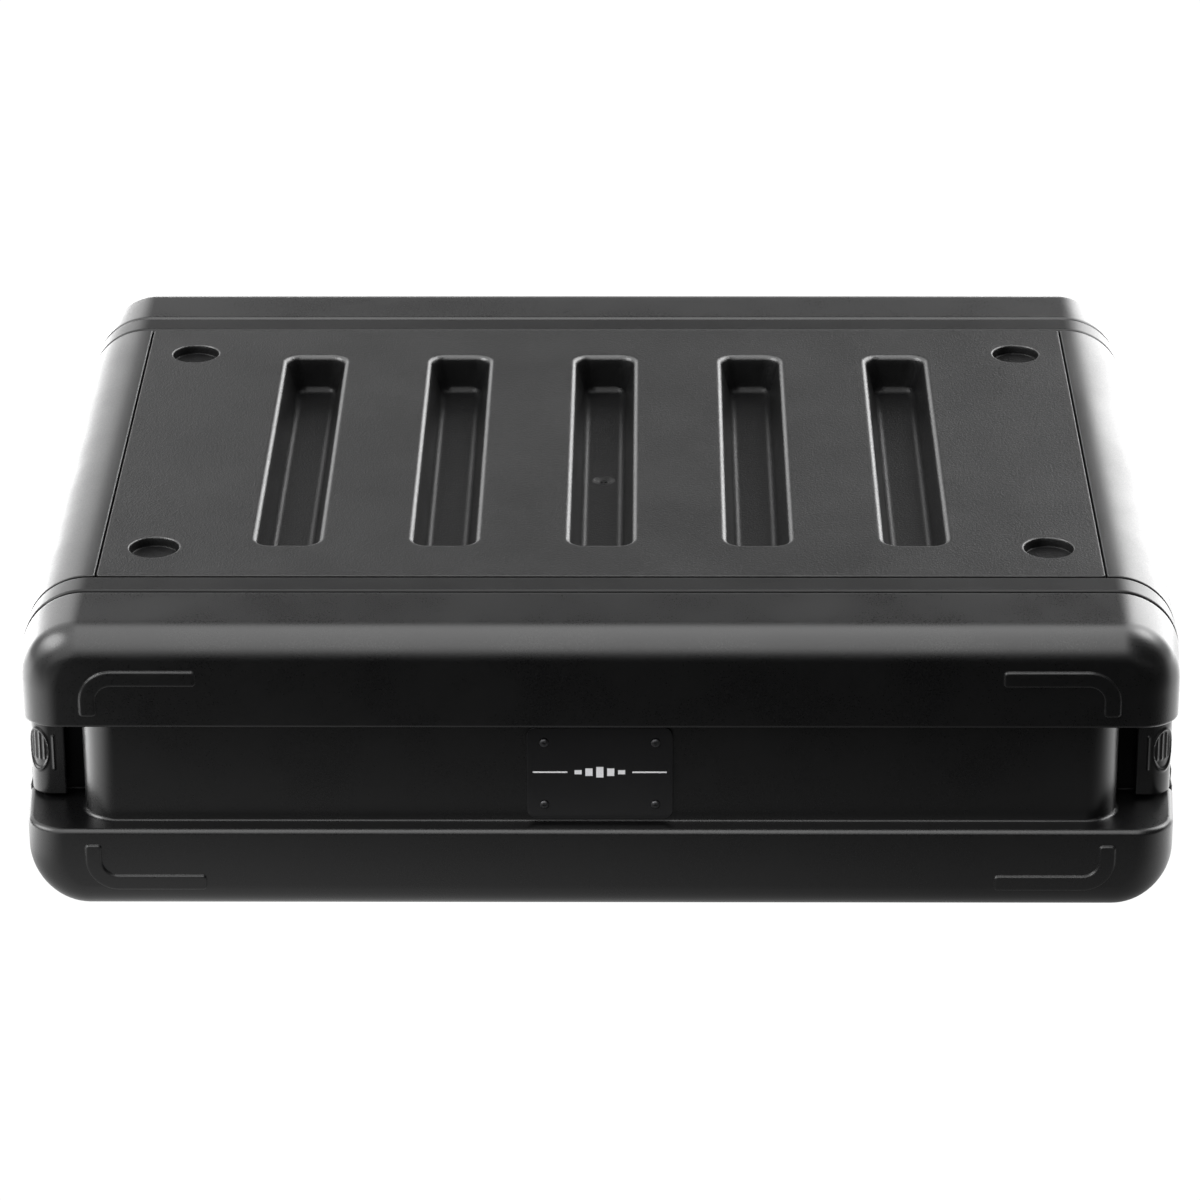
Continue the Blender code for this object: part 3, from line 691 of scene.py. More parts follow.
def add_recess(mesh, x, y, hole):
    """One round corner recess; gives its openings in the top and the underside."""
    def ring(radius, steps=48):
        return circle(x, y, radius, steps)

    def wall(profile, steps=48):
        bridge(mesh, [xy(ring(radius, steps), TOP + z) for radius, z in profile])

    bends = quarter(5)[1:]
    profile = [(13.6, 0.0), (13.0, 0.0)]
    profile += [(12.15 + 0.85 * (1 - math.sin(a)), -0.85 * (1 - math.cos(a))) for a in bends]
    profile += [(11.95, -4.7)]
    profile += [(11.95 - 0.3 * (1 - math.cos(a)), -4.7 - 0.3 * math.sin(a)) for a in bends]
    wall(profile + [(9.0, RECESS_FLOOR)])
    wall(RECESS_CUP)
    if hole:
        wall(RECESS_HOLE, 24)
        fill(mesh, ring(9.0), [ring(2.6, 24)], TOP + RECESS_FLOOR)
        fill(mesh, ring(13.6), [ring(2.1, 24)], TOP + RECESS_UNDER)
    else:
        cap(mesh, xy(ring(9.0), TOP + RECESS_FLOOR))
        cap(mesh, xy(ring(13.6), TOP + RECESS_UNDER))
    return ring(13.6), ring(15.6)


def panel(name, screw_holes):
    """A top panel, or one with screw holes to be turned over as the bottom."""
    mesh = bmesh.new()
    edge = [(1.3, 0.0), (0.4, 0.0)]
    edge += [(0.4 * (1 - math.sin(a)), -0.4 * (1 - math.cos(a))) for a in quarter(5)[1:]]
    edge += [(0.0, -3.2), (0.3, SKIN), (0.8, SKIN)]
    bridge(mesh, [xy(panel_plan(margin), TOP + z) for margin, z in edge])
    openings = []
    for i in range(POCKETS):
        mid_x = (i - (POCKETS - 1) / 2) * POCKET_PITCH
        openings.append(add_pocket(mesh, mid_x, gate=i == 2 and not screw_holes))
    openings += [add_recess(mesh, x, y, screw_holes) for x, y in FEET]
    fill(mesh, panel_plan(1.3), [over for over, _ in openings], TOP)
    fill(mesh, panel_plan(0.8), [under for _, under in openings], TOP + SKIN)
    return to_object(mesh, name)


top = panel("top", screw_holes=False)
low = panel("low", screw_holes=True)
bottom = mirror(low, "bottom", side_z=-1)
remove(low)
dress(top, PANEL, "case_body", "top_panel")
dress(bottom, PANEL, "case_body", "bottom_panel")

# ---------------------------------------------------------------- side panels
SIDE_EDGE_X, LIP_X = 244.0, 236.0   # inner edge of the outside face, and of the lip under it
LIP_TOP, LIP_LOW = TOP - 3.8, TOP - 6.8
INNER_R = CORNER_R - 3.5
HIGH_Z, LOW_Z = TOP - CORNER_R, MID_Z - HALF_Z + CORNER_R   # centres of the corners

meet_x = CORNER_X + math.sqrt(INNER_R ** 2 - (LIP_LOW - HIGH_Z) ** 2)
meet = math.degrees(math.atan2(LIP_LOW - HIGH_Z, meet_x - CORNER_X))
section = [(SIDE_EDGE_X, TOP)]
section += arc(CORNER_X, HIGH_Z, CORNER_R, 90, 0, 20)
section += arc(CORNER_X, LOW_Z, CORNER_R, 0, -90, 20)
section += [(SIDE_EDGE_X, MID_Z - HALF_Z), (SIDE_EDGE_X, 2 * MID_Z - LIP_TOP),
            (LIP_X, 2 * MID_Z - LIP_TOP), (LIP_X, 2 * MID_Z - LIP_LOW)]
section += arc(CORNER_X, LOW_Z, INNER_R, -meet, 0, 14)
section += arc(CORNER_X, HIGH_Z, INNER_R, 0, meet, 14)
section += [(LIP_X, LIP_LOW), (LIP_X, LIP_TOP), (SIDE_EDGE_X, LIP_TOP)]
side = solid("side", [[xz(section, y) for y in (-SHELL_Y, SHELL_Y)]])
# Openings for the two keepers and the handle dish.
cut(side, [block(262, 285, -165, -129.5, 47.0, 107.5), block(262, 285, 129.5, 165, 47.0, 107.5),
           block(262, 285, -94, 94, 49.5, 108.5)])
bevel(side, 0.6)
dress(mirror(side, "left_side", side_x=-1), SIDE, "case_body", "left_side_panel")
dress(side, SIDE, "case_body", "right_side_panel")

# ----------------------------------------------------------------- end frames
SHELL_ROUND, COVER_ROUND = 2.5, 1.2     # roundings towards the shell and the cover
rounds = [(SHELL_ROUND * (1 - math.sin(a)), -160.4 - SHELL_ROUND * (1 - math.cos(a)))
          for a in quarter(6)]
rounds += [(COVER_ROUND * (1 - math.cos(a)), -175.5 - COVER_ROUND * math.sin(a))
           for a in quarter(6)]
end_frame = solid("frame", [[
    xz(outline(HALF_X - margin, HALF_Z - margin, CORNER_R - margin, steps=20), y, MID_Z)
    for margin, y in rounds]])
# Thin tongue that enters the cover, open at the channel.
tongue = solid("tongue", [slab(258.4, 62.4, 22, -176.0, -182.5)])
cut(tongue, [slab(255.6, 59.6, 19.2, -175.0, -184.0)])
cut(tongue, [block(-300, 300, -200, -100, 45.5, 109.0)])
boolean(end_frame, tongue, "UNION")
cut(end_frame, [slab(242.5, 47, 5, -150, -190)])
# Ring hollowed out from the shell side.
groove = solid("groove", [slab(268, 70, 23, -155, -172.0)])
cut(groove, [slab(256, 54, 8, -150, -174.0, steps=6)])
boolean(end_frame, groove)
# Seat of the gasket.
seat = solid("seat", [slab(263.9, 67.4, 22.4, -174.2, -178.0, steps=10)])
cut(seat, [slab(260.1, 63.6, 18.6, -170, -185, steps=10)])
boolean(end_frame, seat)
cut(end_frame, [block(x0, x1, -200, -150, CHANNEL_LOW, 104.8)
                for x0, x1 in ((-290, -271.4), (271.4, 290))]
    + [prism_y(circle(x, z, 2.3, 20), -155, -172) for x, z in RAIL_SCREWS])
bevel(end_frame, 0.5)
dress(mirror(end_frame, "rear_fr", side_y=-1), FRAME, "case_body", "rear_frame")
dress(end_frame, FRAME, "case_body", "front_frame")

# -------------------------------------------------------------------- gaskets
GASKET_HALF, GASKET_RISE = 1.6, 0.8     # half width, height of the rounded face
# Half width, half height, corner radius, y.
section = [(263.6, 67.1, 22.1, -174.5), (260.4, 63.9, 18.9, -174.5), (260.4, 63.9, 18.9, -176.2)]
for i in range(1, 8):
    angle = math.radians(180 * i / 8)
    across = GASKET_HALF * math.cos(angle)
    section.append((262.0 - across, 65.5 - across, 20.5 - across,
                    -176.2 - GASKET_RISE * math.sin(angle)))
section.append((263.6, 67.1, 22.1, -176.2))
grid = [xz(outline(*row[:3]), row[3], MID_Z) for row in section]
mesh = bmesh.new()
bridge(mesh, grid + [grid[0]])
gasket = to_object(mesh, "gasket")
dress(mirror(gasket, "rear_gasket_v", side_y=-1), RUBBER, "case_body", "rear_gasket")
dress(gasket, RUBBER, "case_body", "front_gasket")

# --------------------------------------------------------------------- covers
EDGE_LOW_R, EDGE_TOP_R = 2.6, 1.7   # roundings of the channel's outer edges
FACE_D = 15.5                       # depth of the rounding behind the face
FACE_X, FACE_Z = 17.5, 14.8         # its reach at the sides and at the top and bottom
BACK_R = 2.6                        # rounding of the back edge
COVER_WALL = 3.5


def draft(depth):
    """How far the sides, and the top and bottom, draw in at a depth."""
    return 3.8 * (1 - depth / 48), 1 - depth / 48


def face_rounding(steps):
    """(angle, depth, side draw-in, top draw-in) rows from the face back."""
    rows = []
    for i in range(steps + 1):
        angle = math.radians(90 - 90 * i / steps)
        depth = FACE_D * (1 - math.sin(angle))
        draft_x, draft_z = draft(depth)
        rows.append((angle, depth, FACE_X * (1 - math.cos(angle)) + draft_x,
                     FACE_Z * (1 - math.cos(angle)) + draft_z))
    return rows


# Depth, side draw-in, top draw-in, normal in x and in depth, back rounding.
hull = []
for angle, depth, in_x, in_z in face_rounding(14):
    out_x, out_d = FACE_D * math.cos(angle), -FACE_X * math.sin(angle)
    length = math.hypot(out_x, out_d)
    hull.append((depth, in_x, in_z, out_x / length, out_d / length, 0.0))
for depth in (22.0, 30.0, 38.0, 43.5):
    hull.append((depth, *draft(depth), 1.0, -0.06, 0.0))
for angle in quarter(6):
    depth = 44.8 + BACK_R * math.sin(angle)
    hull.append((depth, *draft(depth), 1.0, -0.06, BACK_R * (1 - math.cos(angle))))


def half_ring(row, up):
    """Half of a hull ring, from the right channel edge over the corners to the left one."""
    depth, in_x, in_z, _, _, back = row
    edge = CHANNEL_TOP + EDGE_TOP_R if up > 0 else CHANNEL_LOW - EDGE_LOW_R
    mid_z = MID_Z + up * (HALF_Z - CORNER_R)
    rx, rz = CORNER_R - in_x - back, CORNER_R - in_z - back
    turns = quarter(CORNER_STEPS)
    pts = [(CORNER_X + rx, edge)]
    pts += [(CORNER_X + rx * math.cos(a), mid_z + up * rz * math.sin(a)) for a in turns]
    pts += [(-CORNER_X - rx * math.sin(a), mid_z + up * rz * math.cos(a)) for a in turns]
    pts += [(-CORNER_X - rx, edge)]
    return xz(pts, depth + FRONT_Y)


def across_front(x):
    """Eleven even steps from x to -x, without the ends."""
    return [x * (1 - 2 * i / 12) for i in range(1, 12)]


def plan_strip(margin, z):
    """The hull's plan line at the channel, moved in: right rear, front, left rear."""
    right = [(HALF_X - in_x - back - margin * out_x, depth - margin * out_d)
             for depth, in_x, _, out_x, out_d, back in reversed(hull)]
    last_x, last_d = right[-1]
    front = [(x, last_d) for x in across_front(last_x)]
    left = [(-x, depth) for x, depth in reversed(right)]
    return [(x, depth + FRONT_Y, z) for x, depth in right + front + left]


# Channel wall on the right: x, depth, radius, steps.
WALL_RIGHT = [(265.5, 47.4, 0, 0), (265.5, 44.2, 0.8, 5), (249.3, 44.2, 2.0, 6),
              (248.6, 34.0, 6.0, 3), (248.5, 10.0, 16.6, 20)]
waist = round_path(WALL_RIGHT + [(-x, *rest) for x, *rest in reversed(WALL_RIGHT)],
                   False, side=-1)


def root(out_x):
    """Radius at the foot of the channel wall: fine along the front, wider at the corners."""
    t = min(max((abs(out_x) - 0.04) / 0.5, 0.0), 1.0)
    return 0.75 + 1.45 * t * t * (3 - 2 * t)


def wall_line(angle, z, up=0):
    """The channel wall at height z; up 1 or -1 and an angle give its rounding at top or foot."""
    line = []
    for x, depth, out_x, out_d in waist:
        radius = root(out_x)
        push = radius * (1 - math.cos(angle)) if up else 0.0
        line.append((x + out_x * push, depth + out_d * push + FRONT_Y,
                     z - up * radius * (1 - math.sin(angle))))
    return line


def cover_half(mesh, up):
    """Hull, face and channel ledge above or below; gives the lines that bound its back."""
    plane = CHANNEL_TOP if up > 0 else CHANNEL_LOW
    radius = EDGE_TOP_R if up > 0 else EDGE_LOW_R
    rings = [half_ring(row, up) for row in hull]
    bridge(mesh, rings, closed=False)
    last_x, y, z = rings[0][-1]
    cap(mesh, rings[0] + [(x, y, z) for x in across_front(last_x)])
    strip = [plan_strip(radius * (1 - math.cos(a)), plane + up * radius * (1 - math.sin(a)))
             for a in quarter(5)]
    bridge(mesh, strip, closed=False)
    outer = [p[:2] for p in strip[-1]]
    inner = [p[:2] for p in wall_line(math.radians(90), plane, up)]
    fill(mesh, outer + list(reversed(inner)), [], plane)
    return rings[-1], [line[0] for line in strip], [line[-1] for line in strip]


mesh = bmesh.new()
ring_high, right_high, left_high = cover_half(mesh, 1)
ring_low, right_low, left_low = cover_half(mesh, -1)
wall = [wall_line(a, CHANNEL_TOP, 1) for a in reversed(quarter(5))]
wall += [wall_line(0.0, z) for z in (95.0, 86.0, 77.25, 68.0, 59.0)]
wall += [wall_line(a, CHANNEL_LOW, -1) for a in quarter(5)]
bridge(mesh, wall, closed=False)
cap(mesh, ring_high + left_high + [line[-1] for line in wall] + left_low[::-1]
    + ring_low[::-1] + right_low + [line[0] for line in wall[::-1]] + right_high[::-1])
cover = to_object(mesh, "cover")

# L ribs on the face: outer x, end of the long leg, outer z, end of the short leg, side of mid.
RIB_HALF, RIB_BEND = 3.85, 15.5
RIBS = ((246.5, 191.0, 133.7, 110.3, 1), (246.8, 189.2, 17.8, 41.6, -1))
# Section of a rib: margin, depth.
RIB_SECTION = ((0.0, 2.0), (0.0, -0.35), (0.10, -0.62), (0.32, -0.84), (0.66, -0.96),
               (1.15, -1.0))
for outer_x, end_x, outer_z, leg_end, up in RIBS:
    mid_x, mid_z = outer_x - RIB_HALF, outer_z - up * RIB_HALF
    line = round_path([(end_x + RIB_HALF, mid_z, 0, 0), (mid_x, mid_z, RIB_BEND - RIB_HALF, 12),
                       (mid_x, leg_end + up * RIB_HALF, 0, 0)], False)
    for hand in (1, -1):
        placed = [(hand * x, z, out_x, hand * out_z) for x, z, out_x, out_z in line]
        add(cover, [[xz(band(placed, RIB_HALF, margin, 1.7), depth + FRONT_Y)
                     for margin, depth in RIB_SECTION]])

# Hollow of the cover, open at the back and kept clear of the channel.
hollow = [(max(depth, COVER_WALL), in_x + COVER_WALL, in_z + COVER_WALL)
          for _, depth, in_x, in_z in face_rounding(8)]
flat = [row for row in hollow if row[0] <= COVER_WALL]
hollow = hollow[len(flat) - 1:]
back_x, back_z = draft(44.7)
hollow.append((44.7, back_x + COVER_WALL, back_z + COVER_WALL))
cavity = solid("cavity", [[
    xz(outline(HALF_X - in_x, HALF_Z - in_z, CORNER_R - in_x, CORNER_R - in_z, steps=8),
       depth + FRONT_Y, MID_Z) for depth, in_x, in_z in hollow]])
add(cavity, [slab(259, 63, 22.6, 44 + FRONT_Y, 50 + FRONT_Y)])
core = [(300.0, -10.0), (300.0, 52.0), (245.8, 52.0), (245.2, 36.5)]
core += arc(231.9, 26.6, 13.1, 0, -90, 10)
core = [(x, depth + FRONT_Y) for x, depth in core]
core += [(-x, y) for x, y in reversed(core)]
cut(cavity, [prism_z(core, CHANNEL_LOW - COVER_WALL, CHANNEL_TOP + COVER_WALL)])
boolean(cover, cavity)
cut(cover, [prism_z(circle(hand * PIN_X, PIN_Y, PIN_HOLE_R, 20), z0, z1)
            for hand in (-1, 1) for z0, z1 in ((45.8, 50.6), (103.9, 108.7))])
rear_cover = mirror(cover, "rear_cover_v", side_y=-1)

BADGE_SCREWS = [(hand * 26.6, z) for hand in (-1, 1) for z in (59.4, 92.4)]


def badge_holes(first, last):
    return [prism_y(circle(x, z, 1.4, 16), first + FRONT_Y, last + FRONT_Y)
            for x, z in BADGE_SCREWS]


cut(cover, badge_holes(9, 15))
dress(cover, COVER, "front_cover", "front_cover", angle=32)
dress(rear_cover, COVER, "rear_cover", "rear_cover", angle=32)

# ---------------------------------------------------------------------- badge
# Margin, depth.
PLATE = [(0.4, 9.7), (0.0, 9.55), (0.0, 9.0), (0.07, 8.75), (0.2, 8.58), (0.45, 8.5), (1.0, 8.5)]
badge = solid("badge", [[
    xz(outline(35 - margin, 24.6 - margin, 5 - margin, steps=10), depth + FRONT_Y, 75.8)
    for margin, depth in PLATE]])
cut(badge, badge_holes(6, 11))
dress(badge, BADGE, "front_cover", "badge_plate")


def make_screw(name, head_r, head_h, shank_r, length, slot, axis):
    """A pan-head screw with a cross recess; its head's underside is at height 0."""
    profile = [(shank_r * 0.55, -length), (shank_r, -length + shank_r * 0.8)]
    turns = 9
    for i in range(turns):
        z = -length + shank_r * 0.8 + (length - shank_r * 1.2) * (i + 0.5) / turns
        profile += [(shank_r, z - 0.18), (shank_r * 0.86, z)]
    profile += [(shank_r, -shank_r * 0.35), (shank_r, 0.0)]
    profile += [(head_r * 0.96, 0.0), (head_r, head_h * 0.12)]
    for angle in quarter(6)[1:]:
        profile.append((max(head_r * math.cos(angle) ** 0.7, head_r * 0.04),
                        head_h * (0.12 + 0.88 * math.sin(angle))))
    screw = turned(name, profile, 28, axis)
    half = slot * 0.16
    for crossed in (False, True):
        rings = []
        for a, b, height in ((slot * 0.55, half * 0.7, 0.30), (slot, half, 1.3)):
            pts = [(-a, -b), (a, -b), (a, b), (-a, b)]
            if crossed:
                pts = [(-y, x) for x, y in pts]
            rings.append([ALONG[axis](x, y, head_h * height) for x, y in pts])
        cut(screw, [rings])
    return screw


def set_screws(screw, places, material, body, node):
    """Numbered copies of a screw, which is then removed."""
    for i, (x, y, z) in enumerate(places):
        new = link_new("screw", screw.data)
        new.location = (x * MM, y * MM, z * MM)
        dress(new, material, body, f"{node}_{i + 1}", weighted=False)
    remove(screw)


screw = make_screw("badge_screw", head_r=2.2, head_h=1.0, shank_r=1.1, length=8.1, slot=1.25,
                   axis="-Y")
set_screws(screw, [(x, 8.2 + FRONT_Y, z) for x, z in BADGE_SCREWS], BLACK, "front_cover",
           "badge_screw")

# -------------------------------------------------------------------- latches
ARM_X, ARM_T = 276.0, 3.0           # outer face and thickness of the arm
BEND_R, BEND_D = 10.0, 44.9         # outer radius of the bend, depth of its centre
BEND_TURN = math.radians(90)
RUN = 7.5                           # straight length past the bend
PAD_AT, PAD_Z = 9.2, 74.8           # pad centre: length round the bend, height
LEVER_LOW, LEVER_TOP, LEVER_ROUND = 51.2, 103.3, 0.8
inner_x, inner_r = ARM_X - ARM_T, BEND_R - ARM_T


def past_bend(radius, run):
    """The point (x, depth) past the bend on its inner or outer face."""
    x = ARM_X - BEND_R + radius * math.cos(BEND_TURN)
    depth = BEND_D - radius * math.sin(BEND_TURN)
    return x - run * math.sin(BEND_TURN), depth - run * math.cos(BEND_TURN)


bend_end_x = ARM_X - BEND_R + BEND_R * math.cos(BEND_TURN)
bend_end_d = BEND_D - BEND_R * math.sin(BEND_TURN)
half_turn = math.tan(BEND_TURN / 2)
# x, depth, radius, steps.
lever_plan = [
    (ARM_X, 92.8, 0.8, 4), (inner_x, 92.8, 0.35, 2), (inner_x, 91.4, 0.15, 1),
    (271.8, 90.3, 0.25, 2), (271.8, 86.8, 0.25, 2), (inner_x, 86.8, 0.15, 1),
    (inner_x, BEND_D - inner_r * half_turn, inner_r, 16), (*past_bend(inner_r, RUN), 0.9, 4),
    (*past_bend(BEND_R, RUN), 0.9, 4), (ARM_X, BEND_D - BEND_R * half_turn, BEND_R, 40),
]


def lever_step(a, b):
    """Step along an edge: fine on the outer face past the bend, coarse elsewhere."""
    facing = abs(a[3]) > 0.99 and abs(b[3]) > 0.99
    return 0.40 if facing and abs(a[1] - bend_end_d) < 0.01 else 3.0


def subdivide(path, step):
    """A closed path with its long edges divided."""
    full = []
    for i, a in enumerate(path):
        b = path[(i + 1) % len(path)]
        full.append(a)
        length = math.hypot(b[0] - a[0], b[1] - a[1])
        size = step(a, b)
        if length > size * 1.5:
            parts = int(round(length / size))
            out_x, out_y = (b[1] - a[1]) / length, -(b[0] - a[0]) / length
            for j in range(1, parts):
                full.append((a[0] + (b[0] - a[0]) * j / parts,
                             a[1] + (b[1] - a[1]) * j / parts, out_x, out_y))
    return full


def smooth01(t):
    t = min(max(t, 0.0), 1.0)
    return t * t * (3 - 2 * t)


def pad_height(across, rise):
    """Relief of the pad: a raised oval ring round a ribbed dish, and a short bar beside it."""
    reach = math.hypot(across / 5.9, rise / 10.8)
    height = 0.50 * math.exp(-((reach - 1.0) / 0.085) ** 2)
    height -= 0.50 * smooth01((1.0 - reach) / 0.16)
    if reach < 1.0 and rise > -6.0:
        fade = smooth01((0.92 - reach) / 0.10) * smooth01((rise + 6.0) / 1.5)
        height += 0.60 * fade * (0.5 - 0.5 * math.cos(2 * math.pi * across / 2.55)) ** 1.4
    bar = smooth01(1.0 - abs(across - 8.4) / 0.95) * smooth01((9.5 - abs(rise + 1.0)) / 0.8)
    return height + 0.55 * bar


def pad_push(x, depth, z):
    """Relief at a point of the lever, none away from the pad's outer face."""
    if not (60 < z < 92 and depth < 45.5):
        return 0.0
    reach = math.hypot(x - (ARM_X - BEND_R), depth - BEND_D)
    if abs(reach - BEND_R) < 0.03 and x > bend_end_x - 0.01:
        across = BEND_R * math.atan2(BEND_D - depth, x - (ARM_X - BEND_R)) - PAD_AT
    elif x < bend_end_x and abs(depth - bend_end_d) < 0.03:
        across = BEND_R * BEND_TURN - PAD_AT + (bend_end_x - x)
    else:
        return 0.0
    return pad_height(across, z - PAD_Z)


def lever_levels():
    """(height, margin) rows up the lever, close together over the pad."""
    rounding = [(LEVER_ROUND * (1 - math.cos(a)), LEVER_ROUND * (1 - math.sin(a)))
                for a in quarter(5)]
    levels = [(LEVER_LOW + rise, margin) for rise, margin in rounding]
    for z, stop, step in ((LEVER_LOW + 3.4, 61.2, 3.0), (61.6, 89.6, 0.4),
                          (91.0, LEVER_TOP - 2, 3.0)):
        while z < stop:
            levels.append((z, 0.0))
            z += step
    return levels + [(LEVER_TOP - rise, margin) for rise, margin in reversed(rounding)]


def make_lever():
    path = subdivide(round_path(lever_plan, True), lever_step)
    stack = []
    for z, margin in lever_levels():
        line = []
        for x, depth, out_x, out_d in path:
            push = -margin
            # Only the bend's outside and the faces that look forward carry relief.
            if out_d < -0.99 or x > bend_end_x - 0.01:
                push += pad_push(x, depth, z)
            line.append((x + out_x * push, depth + out_d * push + FRONT_Y, z))
        stack.append(line)
    lever = solid("lever", [stack])
    # Webs to the pin: x, depth.
    web = [(266.4, 43.4, 0.3, 2), (268.0, 37.2, 0.3, 2), (270.8, 38.6, 0.3, 1),
           (273.1, 41.6, 0.3, 1), (273.9, 45.2, 0.3, 2), (271.2, 46.9, 0.3, 2)]
    web = [(x, depth + FRONT_Y) for x, depth, _, _ in round_path(web, True)]
    add(lever, [prism_z(web, LEVER_LOW + 0.2, 68.0), prism_z(web, 88.0, LEVER_TOP - 0.2)])
    for low, high in ((LEVER_LOW + 0.1, 68.5), (87.5, LEVER_TOP - 0.1)):
        barrel = [(2.8, low), (3.1, low + 0.3), (3.1, high - 0.3), (2.8, high)]
        add(lever, [[xy(circle(PIN_X, PIN_Y, radius, 28), z) for radius, z in barrel]])
    bore = circle(PIN_X, PIN_Y, PIN_HOLE_R, 24)
    cut(lever, [prism_z(bore, 50, 70), prism_z(bore, 86, 105)])
    return lever


def coil(radius, wire, low, high, turns, steps, sides):
    """Rings of a torsion spring on the pin: a helix of wire with two short straight legs."""
    line = []
    total = int(turns * steps)
    for i in range(total + 1):
        angle = math.radians(200) + 2 * math.pi * i / steps
        line.append(Vector((PIN_X + radius * math.cos(angle), PIN_Y + radius * math.sin(angle),
                            low + (high - low) * i / total)))
    first, last = (line[0] - line[1]).normalized(), (line[-1] - line[-2]).normalized()
    line = ([line[0] + first * 2.0, line[0] + first * 0.6] + line
            + [line[-1] + last * 0.6, line[-1] + last * 2.0])
    rings = []
    for i, p in enumerate(line):
        along = (line[min(i + 1, len(line) - 1)] - line[max(i - 1, 0)]).normalized()
        across = along.cross(Vector((0, 0, 1))).normalized()
        rise = across.cross(along)
        angles = [2 * math.pi * j / sides for j in range(sides)]
        rings.append([tuple(p + wire * (math.cos(a) * across + math.sin(a) * rise))
                      for a in angles])
    return rings


def make_keeper():
    """A rimmed box in the side panel, with a bar that stands inside it."""
    rim = outline(15.35, 41.5, 5, steps=8, mid_x=-143.35, mid_y=78.0)
    keeper = solid("keeper", [[yz(rim, x) for x in (278.3, 279.1)]])
    add(keeper, [block(265.5, 279.0, -158.7, -130.0, 47.5, 107.0)])
    cut(keeper, [block(267.5, 290.0, -165.0, -131.6, 50.0, 104.5)])
    add(keeper, [block(266.5, 271.4, -143.0, -139.0, 60.0, 95.0)])
    bevel(keeper, 0.4)
    return keeper


lever = make_lever()
pin = turned("pin", [(1.2, 46.6), (1.5, 46.9), (1.5, 107.6), (1.2, 107.9)], 24)
pin.data.transform(Matrix.Translation((PIN_X * MM, PIN_Y * MM, 0)))
spring = solid("spring", [coil(radius=2.25, wire=0.35, low=70.5, high=85.5, turns=8.5,
                               steps=28, sides=10)])
keeper = make_keeper()
for end, side_y in ENDS:
    for hand, side_x in HANDS:
        latch = f"{end}_{hand}_latch"
        for piece, kind, material, body, slot in (
            (lever, "lever", LATCH, latch, "latch"),
            (pin, "pin", STEEL, f"{end}_cover", "steel"),
            (spring, "spring", STEEL, f"{end}_cover", "steel"),
            (keeper, "keeper", LATCH, "case_body", "latch"),
        ):
            dress(mirror(piece, f"{end}{hand}{kind}", side_x, side_y), material, body,
                  f"{latch}_{kind}", weighted=kind != "spring")
remove(lever, pin, spring, keeper)

# ----------------------------------------------------------------- rack rails
RACK_UNIT, UNITS = 44.45, 2
UNIT_HOLES = (6.35, 22.225, 38.1)       # heights within a unit
# x, y, radius, steps.
RAIL_PLAN = [
    (224.5, -160.3, 0.5, 3), (240.2, -160.3, 0.5, 3), (241.1, -159.7, 0.5, 3),
    (255.8, -159.7, 2.6, 6), (255.8, -144.5, 0.4, 2), (253.8, -144.5, 0.4, 2),
    (253.8, -157.7, 0.7, 3), (240.0, -157.7, 0.5, 3), (239.0, -158.3, 0.5, 3),
    (224.5, -158.3, 0.5, 3),
]
plan = [(x, y) for x, y, _, _ in round_path(RAIL_PLAN, True)]
rail = solid("rail", [prism_z(plan, MID_Z - RACK_UNIT, MID_Z + RACK_UNIT)])
holes = [(232.5, MID_Z + (i - 1) * RACK_UNIT + z, 3.3, 28)
         for i in range(UNITS) for z in UNIT_HOLES]
holes += [(x, z, 2.5, 24) for x, z in RAIL_SCREWS if x > 0]
cut(rail, [prism_y(circle(*hole), -165, -155) for hole in holes])
bevel(rail, 0.25, segments=2, angle=50)
for end, side_y in ENDS:
    for hand, side_x in HANDS:
        dress(mirror(rail, f"{end}{hand}rail", side_x, side_y), RAIL, "case_body",
              f"{end}_{hand}_rack_rail")
remove(rail)
for (end, side_y), axis in zip(ENDS, ("Y", "-Y")):
    screw = make_screw("rail_screw", head_r=4.2, head_h=2.6, shank_r=2.0, length=13.4,
                       slot=2.3, axis=axis)
    set_screws(screw, [(x, -157.3 * side_y, z) for x, z in RAIL_SCREWS], STEEL, "case_body",
               f"{end}_rail_screw")

# ----------------------------------------------------------------------- feet
# Closed section of a foot: radius, height.
FOOT = [
    (2.2, 8.7), (11.0, 8.7), (11.3, 8.4), (11.3, 4.2), (10.95, 3.9), (10.95, 3.5), (11.3, 3.2),
    (11.3, 1.3), (11.1, 0.55), (10.5, 0.1), (10.1, 0.0), (9.2, 0.0), (8.9, 0.25), (8.6, 0.25),
    (8.3, 0.0), (4.9, 0.0), (4.5, 0.15), (4.3, 0.5), (4.3, 2.9), (4.0, 3.2), (2.2, 3.2),
]
for i, (x, y) in enumerate(FEET):
    mesh = bmesh.new()
    bridge(mesh, [xy(circle(x, y, radius, 40), z) for radius, z in FOOT + FOOT[:1]])
    dress(to_object(mesh, "foot"), RUBBER, "case_body", f"rubber_foot_{i + 1}")
screw = make_screw("foot_screw", head_r=3.6, head_h=2.0, shank_r=1.7, length=13.1, slot=2.0,
                   axis="-Z")
set_screws(screw, [(x, y, 2.9) for x, y in FEET], STEEL, "case_body", "foot_screw")

# -------------------------------------------------------------------- handles
ROD_X, ROD_Z = 270.5, 100.0         # hinge rod
GRIP_END, GROOVE_PITCH = 84.0, 5.0


